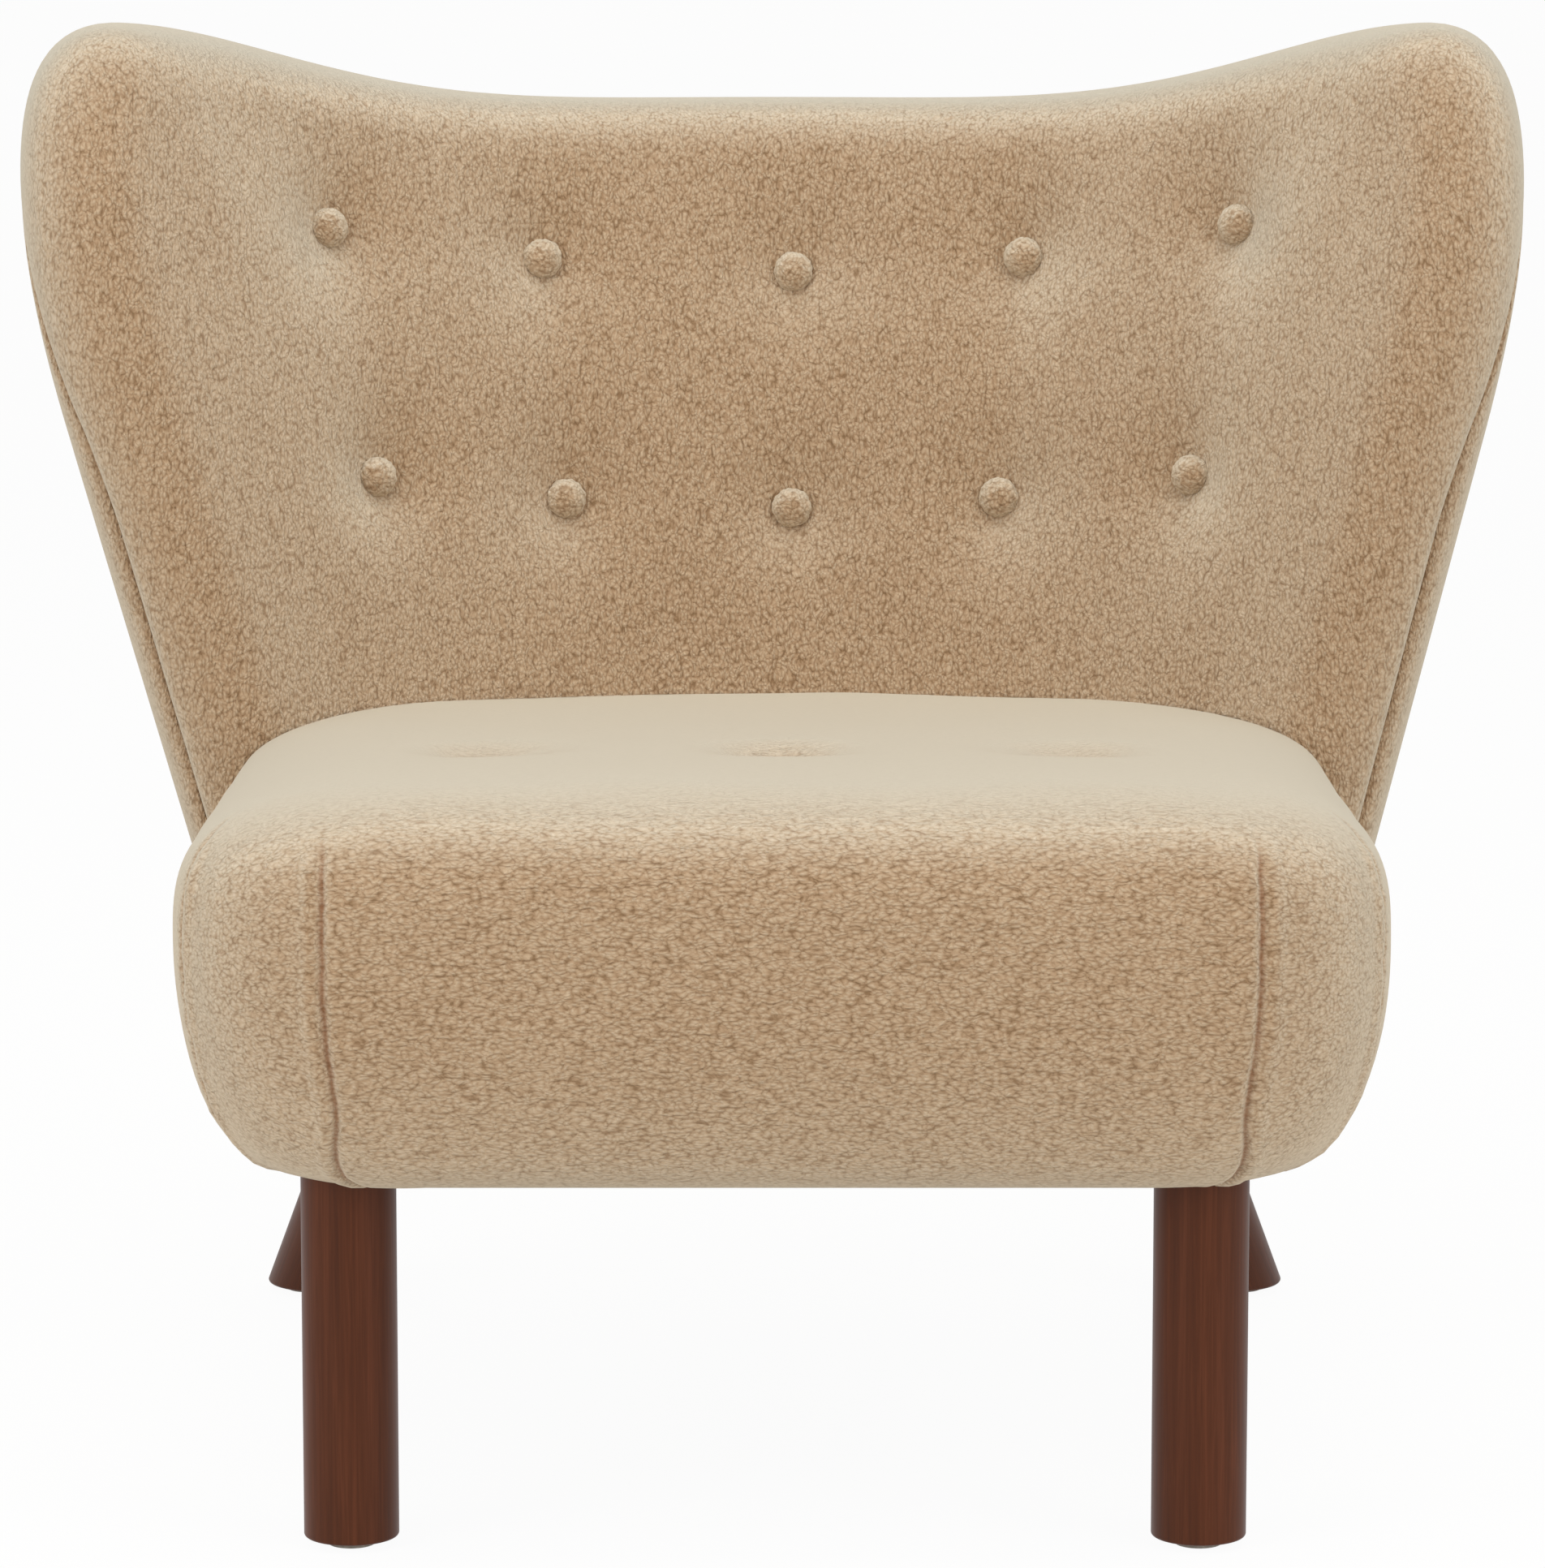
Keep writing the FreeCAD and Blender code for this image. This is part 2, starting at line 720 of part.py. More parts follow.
blank = bound_blank("base", "sizes.base_underside", "sizes.base_thickness")
opening = box("base_opening", "2 * (%s - sizes.base_rim)" % BASE_HALF,
              "%s - %s - 2 * sizes.base_rim" % (RAIL_BACK, BASE_FRONT), "sizes.base_thickness * 3",
              "sizes.base_rim - %s" % BASE_HALF, "%s + sizes.base_rim" % BASE_FRONT,
              "sizes.base_underside - sizes.base_thickness")
ring = cut("base_ring_open", blank, opening)


def make_screw(name, x, y, length, room):
    grow = gap if room else 0
    head = S.screw_head_diameter / 2
    shank = S.screw_diameter / 2
    low = S.base_underside + gap
    place = Vector(x, y, low)
    cone = Part.makeCone(head + grow, shank + grow, head - shank, place)
    tail = Part.makeCylinder(shank + grow, length + 2 * grow, place)
    solid = cone.fuse(tail)
    if room:
        below = place - Vector(0, 0, S.base_thickness)
        solid = solid.fuse(Part.makeCylinder(head + grow, S.base_thickness, below))
    return shaped(name, solid)


def rail_screw_places():
    side = base_half - S.rail_thickness / 2
    front = base_front + S.rail_thickness / 2
    back = rail_back - S.rail_thickness / 2
    places = [(s * 0.35 * side, front) for s in (-1, 1)]
    places += [(s * 0.35 * side, back) for s in (-1, 1)]
    places += [(s * side, y) for s in (-1, 1) for y in (front * 0.55, back - S.rail_screw_setback)]
    return places


def back_screw_places():
    deep = (frame_front + frame_rear) / 2 - S.rib_screw_offset
    return [(p.x, p.y) for p in (on_back(s, base_top, deep) for s in (-0.62, -0.3, 0.3, 0.62))]


def screws(label, places, length):
    solids = []
    rooms = []
    for i, (x, y) in enumerate(places, 1):
        solids.append(make_screw("%s_%d" % (label, i), x, y, length, False))
        rooms.append(make_screw("%s_room_%d" % (label, i), x, y, length, True))
    group(label, solids)
    return joined(label + "_room", rooms)


rail_room = screws("rail_screws", rail_screw_places(), S.rail_screw_length)
post_room = screws("back_rib_screws", back_screw_places(), S.rib_screw_length)
all_holes = joined("base_holes", list(bolt_holes.values()) + [rail_room, post_room])
keep(cut("base_board", ring, all_holes), "base_board")

front_rail = box("front_rail_blank", "2 * " + BASE_HALF, "sizes.rail_thickness", "sizes.rail_height",
                 "-" + BASE_HALF, BASE_FRONT, BASE_TOP)
keep(cut("seat_front_rail", front_rail, rail_room), "seat_front_rail")
rear_rail = box("rear_rail_blank", "2 * " + RAIL_INNER, "sizes.rail_thickness", "sizes.rail_height",
                "-" + RAIL_INNER, RAIL_BACK + " - sizes.rail_thickness", BASE_TOP)
keep(cut("seat_rear_rail", rear_rail, rail_room), "seat_rear_rail")
for name, side in SIDES:
    corner = "-" + BASE_HALF if side < 0 else RAIL_INNER
    blank = box("side_rail_blank_" + name, "sizes.rail_thickness",
                "%s - %s - sizes.rail_thickness" % (RAIL_BACK, BASE_FRONT),
                "sizes.rail_height - " + WEB_STEP, corner, BASE_FRONT + " + sizes.rail_thickness", BASE_TOP)
    keep(cut("seat_rail_" + name, blank, rail_room), "seat_rail_" + name)

scribe = shaped("back_scribe", back_sheet(frame_inset, -gap, half_thickness, low=base_top - S.back_thickness))
for place, name, side in LEGS:
    tag = "%s_%s" % (place, name)
    corner = "-" + RAIL_INNER if side < 0 else RAIL_INNER + " - sizes.block_size"
    if place == "front":
        blank = box("block_blank_" + tag, "sizes.block_size", "sizes.block_size", "sizes.block_height",
                    corner, BASE_FRONT + " + sizes.rail_thickness", BASE_TOP)
    else:
        stock = box("block_stock_" + tag, "sizes.block_size", "sizes.rear_block_length",
                    "sizes.block_height", corner, RAIL_BACK, BASE_TOP)
        blank = cut("block_blank_" + tag, stock, scribe)
    keep(cut("leg_block_" + tag, blank, bolt_holes[(place, name)]), "leg_block_" + tag)

for name, rib in back_ribs.items():
    keep(cut("back_rib_" + name, rib, post_room) if name == "bottom" else rib, "back_rib_" + name)


# Webbing, felt and dust cover.
tuft_y = S.tuft_setback - half_depth
TUFTS = [Vector(i * S.tuft_pitch, tuft_y, 0) for i in (-1, 0, 1)]
twine_holes = [rod(twine_room, p, p + Vector(0, 0, S.seat_upper_edge)) for p in TUFTS]
tuft_hole = shaped("tuft_twine_room", Part.makeCompound(twine_holes))

STRAP_LENGTH = "%s - %s - 2 * sizes.webbing_end_margin" % (RAIL_BACK, BASE_FRONT)
straps = []
for i in (-2, -1, 0, 1, 2):
    strap = box("strap_%d" % (i + 3), "sizes.webbing_width", STRAP_LENGTH,
                "sizes.webbing_thickness", "%d * sizes.webbing_pitch - sizes.webbing_width / 2" % i,
                BASE_FRONT + " + sizes.webbing_end_margin", RAIL_TOP)
    straps.append(cut("strap_bored_%d" % (i + 3), strap, tuft_hole))
group("seat_webbing_lengthwise", straps)

CROSS_LENGTH = "2 * (%s - sizes.webbing_end_margin)" % BASE_HALF
cross_straps = []
TUFT_LINE = "(sizes.tuft_setback - sizes.overall_depth / 2)"
for i in (-1, 0, 1):
    strap = box("cross_strap_%d" % (i + 2), CROSS_LENGTH, "sizes.webbing_width",
                "sizes.webbing_thickness", "sizes.webbing_end_margin - " + BASE_HALF,
                "%s + %d * sizes.cross_webbing_pitch - sizes.webbing_width / 2" % (TUFT_LINE, i),
                RAIL_TOP + " - " + WEB_STEP)
    cross_straps.append(cut("cross_bored_%d" % (i + 2), strap, tuft_hole))
group("seat_webbing_crosswise", cross_straps)

felt = box("felt_blank", "2 * " + BASE_HALF, "%s - %s" % (RAIL_BACK, BASE_FRONT), "sizes.felt_thickness",
           "-" + BASE_HALF, BASE_FRONT, RAIL_TOP + " + sizes.webbing_thickness + sizes.fit_gap")
keep(cut("seat_felt_pad", felt, tuft_hole), "seat_felt_pad")

lining = bound_blank("lining", "sizes.base_underside - sizes.dust_cover_thickness - sizes.fit_gap / 2",
                     "sizes.dust_cover_thickness", "dust_cover_inset")
leg_space = shaped("leg_space", Part.makeCompound(leg_rooms(S.leg_clearance)))
keep(cut("dust_cover", lining, leg_space), "dust_cover")


# Seat: a plump rounded form, drawn in below, rolled over above and cut back to the backrest.
def seat_outline(inset, radius):
    side = S.seat_width / 2 - inset
    front = inset - half_depth
    back = middle_y - S.seat_rear_tuck
    corner = max(S.seat_least_corner, radius)
    rear = S.seat_rear_corner - min(inset, S.seat_rear_corner_draw)
    k = math.sqrt(0.5)
    edges = []
    spots = ((side, front, corner, 1, -1), (side, back, rear, 1, 1),
             (-side, back, rear, -1, 1), (-side, front, corner, -1, -1))
    ends = []
    for x, y, r, sx, sy in spots:
        centre = Vector(x - sx * r, y - sy * r, 0)
        across = centre + Vector(sx * r, 0, 0)
        ahead = centre + Vector(0, sy * r, 0)
        mid = centre + Vector(sx * k * r, sy * k * r, 0)
        ends.append((ahead, mid, across) if sx * sy < 0 else (across, mid, ahead))
    for i, (start, mid, finish) in enumerate(ends):
        edges.append(arc(start, mid, finish))
        edges.append(line(finish, ends[(i + 1) % 4][0]))
    return Part.Wire(edges)


def seat_levels():
    low = S.seat_wide_height - S.seat_lower_edge
    high = S.seat_upper_edge - S.seat_wide_height
    levels = []
    for part in (1, 0.92, 0.72, 0.42):
        draw = S.seat_lower_draw * (1 - math.sqrt(1 - part ** 2))
        levels.append((S.seat_wide_height - part * low, draw, 0))
    levels.append((S.seat_wide_height, 0, 0))
    for part in (0.3, 0.5, 0.68, 0.82, 0.91, 0.96, 0.985, 0.996, 1):
        draw = S.seat_upper_draw * (1 - (1 - part ** 2.6) ** 0.25)
        levels.append((S.seat_wide_height + part * high, draw, part))
    return levels


def seat_form(inset):
    wires = []
    middle = (S.seat_lower_edge + S.seat_upper_edge) / 2
    squeeze = 1 - 2 * inset / (S.seat_upper_edge - S.seat_lower_edge)
    pivot = Vector(0, tuft_y, 0)
    for height, draw, tilt in seat_levels():
        wire = seat_outline(draw + inset, S.seat_corner_radius - 0.35 * draw - inset)
        wire.translate(Vector(0, 0, middle + (height - middle) * squeeze))
        wire.rotate(pivot + Vector(0, 0, height), Vector(1, 0, 0), -S.seat_tilt * tilt)
        wires.append(wire)
    return Part.makeLoft(wires, True, False, False, 3)


tuft_top = S.seat_upper_edge


def seat_funnels(drop):
    up = Vector(0, 0, 1)
    return [funnel(p + up * (tuft_top - drop), up, S.tuft_depth, S.tuft_radius) for p in TUFTS]


def back_room(grow):
    reach = half_thickness + grow
    low = S.seat_lower_edge - S.back_thickness
    top = S.seat_upper_edge + S.back_thickness
    return back_sheet(-grow, -reach - crown, reach, low=low, top=top, rounded_edge=True)


# The foam slab fills the middle of the seat and keeps clear of the curved back.
def foam_slab(grow):
    side = S.seat_width / 2 - S.seat_foam_margin + grow
    front = S.seat_foam_margin - half_depth - grow
    back = half_depth - S.seat_foam_back_inset + grow
    radius = S.seat_foam_back_radius + grow
    low = felt_top + gap - grow
    height = S.seat_foam_thickness + 2 * grow
    slab = Part.makeBox(2 * side, back - front, height, Vector(-side, front, low))
    disc = Part.makeCylinder(radius, height, Vector(0, back - radius, low))
    ahead = Part.makeBox(2 * side, back - radius - front, height, Vector(-side, front, low))
    plan = slab.common(disc.fuse(ahead)).removeSplitter()
    corner = S.seat_corner_radius - S.seat_foam_margin + grow
    return plan.makeFillet(corner, front_uprights(plan, front))


seat_outer = main_solid(seat_form(0).cut([back_room(gap)] + seat_funnels(0)))
lower_opening = base_blank(-S.cover_turn_under, S.base_underside / 2, base_top)
seat_shell = main_solid(seat_outer.cut([foam_slab(gap), lower_opening, frame_room]))
keep(shaped("seat_foam", foam_slab(0).cut(twine_holes)), "seat_foam")


# Corner gussets of the seat cover, between the two seams at each front corner.
def gusset_wedge(side):
    centre = Vector(side * (S.seat_width / 2 - S.seat_corner_radius), S.seat_corner_radius - half_depth, 0)
    reach = 3 * S.seat_corner_radius
    turn = math.radians(S.gusset_angle)
    ahead = Vector(0, -reach, 0)
    aside = Vector(side * reach * math.sin(turn), -reach * math.cos(turn), 0)
    points = [centre, centre + ahead, centre + ahead + aside, centre + aside, centre]
    wedge = Part.Face(Part.makePolygon(points))
    wedge.translate(Vector(0, 0, S.base_underside / 2))
    return wedge.extrude(Vector(0, 0, S.gusset_top - S.base_underside / 2))


wedges = {name: gusset_wedge(side) for name, side in SIDES}
keep(shaped("seat_cover", main_solid(seat_shell.cut(list(wedges.values())))), "seat_cover")
for name, wedge in wedges.items():
    gusset = main_solid(seat_shell.common(wedge))
    keep(shaped("seat_corner_gusset_" + name, gusset), "seat_corner_gusset_" + name)


# Buttons, twines and what the twines are tied to.
rest = gap / 2
button_drop = front_face + S.dimple_depth - rest
back_buttons = []
washers = []
for number, (share, height) in enumerate(BUTTONS, 1):
    out = fan(share)[2]
    back_buttons.append(shaped("back_button_%d" % number,
                               button(on_back(share, height, button_drop), -out)))
    disc = Part.makeCylinder(S.washer_diameter / 2, S.washer_thickness,
                             on_back(share, height, liner_rear + 2 * gap), out)
    hole = rod(twine_room, on_back(share, height, 0), on_back(share, height, frame_rear))
    washers.append(shaped("back_washer_%d" % number, disc.cut(hole)))
group("back_buttons", back_buttons)
thread = S.twine_diameter / 2
knot_depth = liner_rear + S.washer_thickness + 3
strings = back_rods(thread, button_drop + rest / 2, knot_depth)
group("back_button_twines", [shaped("back_twine_%d" % i, s) for i, s in enumerate(strings, 1)])
group("back_twine_washers", washers)

seat_buttons = []
seat_strings = []
toggles = []
strap_low = rail_top - S.webbing_thickness - gap
for number, place in enumerate(TUFTS, 1):
    seat = place + Vector(0, 0, tuft_top - S.tuft_depth + rest)
    seat_buttons.append(shaped("seat_button_%d" % number, button(seat, Vector(0, 0, 1))))
    under = S.toggle_diameter / 2 + rest
    ends = Vector(S.toggle_length / 2, 0, 0)
    centre = place + Vector(0, 0, strap_low - under)
    toggle = rod(S.toggle_diameter / 2, centre - ends, centre + ends)
    toggles.append(shaped("seat_toggle_%d" % number, toggle))
    foot = place + Vector(0, 0, strap_low - rest / 2)
    seat_strings.append(shaped("seat_twine_%d" % number, rod(thread, foot, seat - Vector(0, 0, rest / 2))))
group("seat_buttons", seat_buttons)
group("seat_button_twines", seat_strings)
group("seat_twine_toggles", toggles)


# Every piece is checked, then written as its own file.
doc.recompute()
for obj in doc.Objects:
    if "Invalid" in obj.State or "Error" in obj.State:
        raise RuntimeError("%s did not build: %s" % (obj.Label, obj.State))
os.makedirs("parts", exist_ok=True)
for obj in subparts:
    if obj.Shape.isNull() or not obj.Shape.isValid() or not obj.Shape.Solids:
        raise RuntimeError("%s has no valid solid" % obj.Label)
    obj.Shape.exportStep("parts/%s.step" % obj.Label)
print("wrote %d pieces" % len(subparts))
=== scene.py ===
import math
import bpy
import numpy as np
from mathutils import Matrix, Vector, noise
from mathutils.bvhtree import BVHTree
from mathutils.kdtree import KDTree


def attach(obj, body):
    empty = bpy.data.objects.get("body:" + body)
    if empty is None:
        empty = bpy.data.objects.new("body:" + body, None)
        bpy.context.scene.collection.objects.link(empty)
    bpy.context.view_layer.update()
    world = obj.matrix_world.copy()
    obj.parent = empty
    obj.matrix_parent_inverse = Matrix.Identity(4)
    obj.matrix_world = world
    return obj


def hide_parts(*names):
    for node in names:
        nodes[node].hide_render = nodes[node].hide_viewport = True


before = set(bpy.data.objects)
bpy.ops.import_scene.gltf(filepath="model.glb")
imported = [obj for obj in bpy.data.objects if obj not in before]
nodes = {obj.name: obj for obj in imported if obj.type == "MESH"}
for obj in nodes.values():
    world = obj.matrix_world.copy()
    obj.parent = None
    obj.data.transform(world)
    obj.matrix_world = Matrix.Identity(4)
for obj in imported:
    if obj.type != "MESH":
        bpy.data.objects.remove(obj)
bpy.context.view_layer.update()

mm = 0.001
scene = bpy.context.scene
scene.view_settings.view_transform = "Standard"


# small helpers
def hexColor(text):
    parts = [int(text[i:i + 2], 16) / 255 for i in (1, 3, 5)]
    linear = [c / 12.92 if c <= 0.04045 else ((c + 0.055) / 1.055) ** 2.4 for c in parts]
    return (*linear, 1.0)


def clamp(value, low=0.0, high=1.0):
    return max(low, min(high, value))


def smooth(value):
    part = clamp(value)
    return part * part * (3 - 2 * part)


def bell(off, width):
    return math.exp(-(off / width) ** 2)


def deselectAll():
    if bpy.context.mode != "OBJECT":
        bpy.ops.object.mode_set(mode="OBJECT")
    bpy.ops.object.select_all(action="DESELECT")


def pick(piece):
    deselectAll()
    bpy.context.view_layer.objects.active = piece
    piece.select_set(True)


def subdivide(piece, levels):
    pick(piece)
    layer = piece.modifiers.new("softness", "SUBSURF")
    layer.levels = levels
    layer.render_levels = levels
    bpy.ops.object.modifier_apply(modifier=layer.name)


# normals outward, smooth shading
def closeUp(piece):
    pick(piece)
    bpy.ops.object.mode_set(mode="EDIT")
    bpy.ops.mesh.select_all(action="SELECT")
    bpy.ops.mesh.normals_make_consistent(inside=False)
    bpy.ops.object.mode_set(mode="OBJECT")
    bpy.ops.object.shade_smooth()


def dress(piece, material):
    piece.data.materials.clear()
    piece.data.materials.append(material)


def join(pieces, name):
    pick(pieces[0])
    for piece in pieces:
        piece.select_set(True)
    bpy.ops.object.join()
    whole = bpy.context.active_object
    whole.name = name
    whole.data.name = name
    return whole


# one node with its settings, the stops of its ramp, and what goes in: values, or outputs of other nodes
def node(tree, kind, inputs=(), stops=None, **settings):
    made = tree.nodes.new(kind)
    for key, value in settings.items():
        setattr(made, key, value)
    if stops:
        elements = made.color_ramp.elements
        while len(elements) < len(stops[0]):
            elements.new(0.5)
        for element, place, color in zip(elements, *stops):
            element.position = place
            element.color = hexColor(color)
    for socket, source in inputs.items() if isinstance(inputs, dict) else enumerate(inputs):
        if isinstance(source, bpy.types.NodeSocket):
            tree.links.new(source, made.inputs[socket])
        else:
            made.inputs[socket].default_value = source
    return made


def newMaterial(name, surface):
    material = bpy.data.materials.new(name)
    material.use_nodes = True
    tree = material.node_tree
    shader = tree.nodes["Principled BSDF"]
    for socket, value in surface.items():
        shader.inputs[socket].default_value = value
    return material, tree, shader


# curled fleece, knitted with a short pile: matt nubs with thin creases, and a painted sheen in the colour makes it
# pale where the pile is seen edge on
# single fibres are too fine to show in the render, so the fibre size is far coarser than a real one
fleeceLook = {
    # the slope tones are a paler copy of the nap: painted light for slopes and for faces turned up
    "stops": (0.25, 0.55, 0.9), "napWithCreaseShade": ("#8A6D4F", "#AE9172", "#C5AD90"), "slopeLitNap": ("#AE957A", "#CCB99F", "#DBCCB5"),
    # the edge colour is the sheen's tint and also the painted sheen mixed into the colour at grazing angles
    "edge": "#C6BDAB", "thread": "#86573A",
    "nub": 1.6 * mm, "curl": 5 * mm, "sway": 3.2 * mm, "fibre": 0.7 * mm, "patch": 80 * mm, "height": 1.45 * mm,
    "nubFall": 0.8, "nubTop": 0.7, "fibreShare": 0.5, "patchShare": 0.1, "bite": 1.0,
    "upFrom": -0.5, "upTo": 0.7, "underLit": 0.5, "slopeLightFrom": 0.03, "slopeLightTo": 0.36,
    "sheenPaintFrom": 0.34, "sheenPaintTo": 0.82, "flatFrom": 0.5, "flatTo": 0.95,
    "surface": {"Roughness": 0.95, "Specular IOR Level": 0.12, "Sheen Weight": 0.2, "Sheen Roughness": 0.5}}


def makeFleece(name, stretch, slopeLightMost, topLightMost, sheenPaintMost=1.0):
    look = fleeceLook
    material, tree, shader = newMaterial(name, look["surface"])
    shader.inputs["Sheen Tint"].default_value = hexColor(look["edge"])
    place = node(tree, "ShaderNodeTexCoord").outputs["Object"]
    lay = node(tree, "ShaderNodeMapping", {"Vector": place, "Scale": stretch}).outputs["Vector"]
    # nubs that wander with the curl, and the height of the pile
    curl = node(tree, "ShaderNodeTexNoise", {"Vector": lay, "Scale": 1 / look["curl"], "Detail": 1.0})
    bend = node(tree, "ShaderNodeVectorMath", (curl.outputs["Color"], (0.5, 0.5, 0.5)), operation="SUBTRACT")
    push = node(tree, "ShaderNodeVectorMath", {0: bend.outputs["Vector"], "Scale": look["sway"]}, operation="SCALE")
    warped = node(tree, "ShaderNodeVectorMath", (lay, push.outputs["Vector"]), operation="ADD").outputs["Vector"]
    nub = node(tree, "ShaderNodeTexVoronoi", {"Vector": warped, "Scale": 1 / look["nub"]})
    fibre = node(tree, "ShaderNodeTexNoise", {"Vector": warped, "Scale": 1 / look["fibre"], "Detail": 2.0})
    crest = node(tree, "ShaderNodeMath", (nub.outputs["Distance"], -look["nubFall"], look["nubTop"]),
                 operation="MULTIPLY_ADD")
    pile = node(tree, "ShaderNodeMath", (fibre.outputs["Fac"], look["fibreShare"], crest.outputs[0]),
                operation="MULTIPLY_ADD")
    patch = node(tree, "ShaderNodeTexNoise", {"Vector": place, "Scale": 1 / look["patch"], "Detail": 2.0})
    shade = node(tree, "ShaderNodeMath", (patch.outputs["Fac"], look["patchShare"], pile.outputs[0]),
                 operation="MULTIPLY_ADD").outputs[0]
    # the colour follows the pile: darker down in the creases between nubs, painted shade, and paler at the nub tops,
    # with a slow random change of tone
    color = node(tree, "ShaderNodeValToRGB", {"Fac": shade}, (look["stops"], look["napWithCreaseShade"])).outputs["Color"]
    slopeLitTones = node(tree, "ShaderNodeValToRGB", {"Fac": shade}, (look["stops"], look["slopeLitNap"])).outputs["Color"]
    # painted light: paler on slopes, more so where they face up as if lit from above, and palest at the edge, a
    # painted sheen
    facing = node(tree, "ShaderNodeLayerWeight", {"Blend": 0.5}).outputs["Facing"]
    up = node(tree, "ShaderNodeSeparateXYZ", (node(tree, "ShaderNodeNewGeometry").outputs["Normal"],)).outputs["Z"]
    topLightPaint = node(tree, "ShaderNodeMapRange", (up, look["upFrom"], look["upTo"], look["underLit"], topLightMost)).outputs[0]
    slopeLight = node(tree, "ShaderNodeMapRange", (facing, look["slopeLightFrom"], look["slopeLightTo"], 0, slopeLightMost)).outputs[0]
    sheenPaint = node(tree, "ShaderNodeMapRange", (facing, look["sheenPaintFrom"], look["sheenPaintTo"], 0, sheenPaintMost)).outputs[0]
    slopeLightPainted = node(tree, "ShaderNodeMath", (slopeLight, topLightPaint), operation="MULTIPLY").outputs[0]
    sheenPainted = node(tree, "ShaderNodeMath", (sheenPaint, topLightPaint), operation="MULTIPLY").outputs[0]
    withSlopeLight = node(tree, "ShaderNodeMix", {0: slopeLightPainted, 6: color, 7: slopeLitTones}, data_type="RGBA").outputs[2]
    withPaintedSheen = node(tree, "ShaderNodeMix", {0: sheenPainted, 6: withSlopeLight, 7: hexColor(look["edge"])}, data_type="RGBA").outputs[2]
    # the thread in the seams with painted shade in their grooves, and painted shade in the tuft pits
    threadAndShadeMask = node(tree, "ShaderNodeAttribute", attribute_name="threadAndPaintedShade").outputs["Fac"]
    withThreadAndShade = node(tree, "ShaderNodeMix", {0: threadAndShadeMask, 6: withPaintedSheen, 7: hexColor(look["thread"])}, data_type="RGBA").outputs[2]
    grip = node(tree, "ShaderNodeMapRange", (facing, look["flatFrom"], look["flatTo"], look["bite"], 0)).outputs[0]
    bump = node(tree, "ShaderNodeBump", {"Height": pile.outputs[0], "Strength": grip, "Distance": look["height"]})
    tree.links.new(withThreadAndShade, shader.inputs["Base Color"])
    tree.links.new(bump.outputs["Normal"], shader.inputs["Normal"])
    return material


# brown walnut stain under satin lacquer: fine long grain, soft gloss; its pores are drawn coarse enough to show
walnutLook = {
    "stops": (0.42, 0.66, 0.9), "stain": ("#44210F", "#502813", "#5E311B"),
    "grain": 1.6 * mm, "length": 60 * mm, "pore": 0.8 * mm, "poreBite": 0.12, "poreDepth": 0.2 * mm, "wave": 0.6,
    "bandCount": 0.14, "bandShare": 0.9, "evenness": 0.7, "roughFrom": 0.34, "roughTo": 0.5,
    "surface": {"IOR": 1.5, "Specular IOR Level": 0.14, "Coat Weight": 0.08, "Coat Roughness": 0.3}}


def makeWalnut(name, way):
    look = walnutLook
    material, tree, shader = newMaterial(name, look["surface"])
    place = node(tree, "ShaderNodeTexCoord").outputs["Object"]
    turn = Vector((0, 0, 1)).rotation_difference(Vector(way)).inverted().to_euler()
    turned = node(tree, "ShaderNodeMapping", {"Vector": place, "Rotation": turn}).outputs["Vector"]
    squash = (1, 1, look["grain"] / look["length"])
    along = node(tree, "ShaderNodeMapping", {"Vector": turned, "Scale": squash}).outputs["Vector"]
    grain = node(tree, "ShaderNodeTexNoise", {"Vector": along, "Scale": 1 / look["grain"], "Detail": 4.0,
                                              "Roughness": 0.6, "Distortion": look["wave"]})
    bandScale = look["bandCount"] / look["grain"]
    band = node(tree, "ShaderNodeTexNoise", {"Vector": along, "Scale": bandScale, "Detail": 2.0})
    blend = node(tree, "ShaderNodeMath", (band.outputs["Fac"], look["bandShare"], grain.outputs["Fac"]),
                 operation="MULTIPLY_ADD")
    evened = node(tree, "ShaderNodeMath", (blend.outputs[0], look["evenness"]), operation="MULTIPLY")
    color = node(tree, "ShaderNodeValToRGB", {"Fac": evened.outputs[0]}, (look["stops"], look["stain"]))
    pore = node(tree, "ShaderNodeTexNoise", {"Vector": along, "Scale": 1 / look["pore"], "Detail": 2.0}).outputs[0]
    rough = node(tree, "ShaderNodeMapRange", (pore, 0, 1, look["roughFrom"], look["roughTo"]))
    bump = node(tree, "ShaderNodeBump", {"Height": pore, "Strength": look["poreBite"], "Distance": look["poreDepth"]})
    tree.links.new(color.outputs["Color"], shader.inputs["Base Color"])
    tree.links.new(rough.outputs["Result"], shader.inputs["Roughness"])
    tree.links.new(bump.outputs["Normal"], shader.inputs["Normal"])
    return material


# the plain materials: one noise gives both tone and touch
plainLook = {"stops": (0.35, 0.65), "detail": 4.0, "depth": 0.5 * mm}


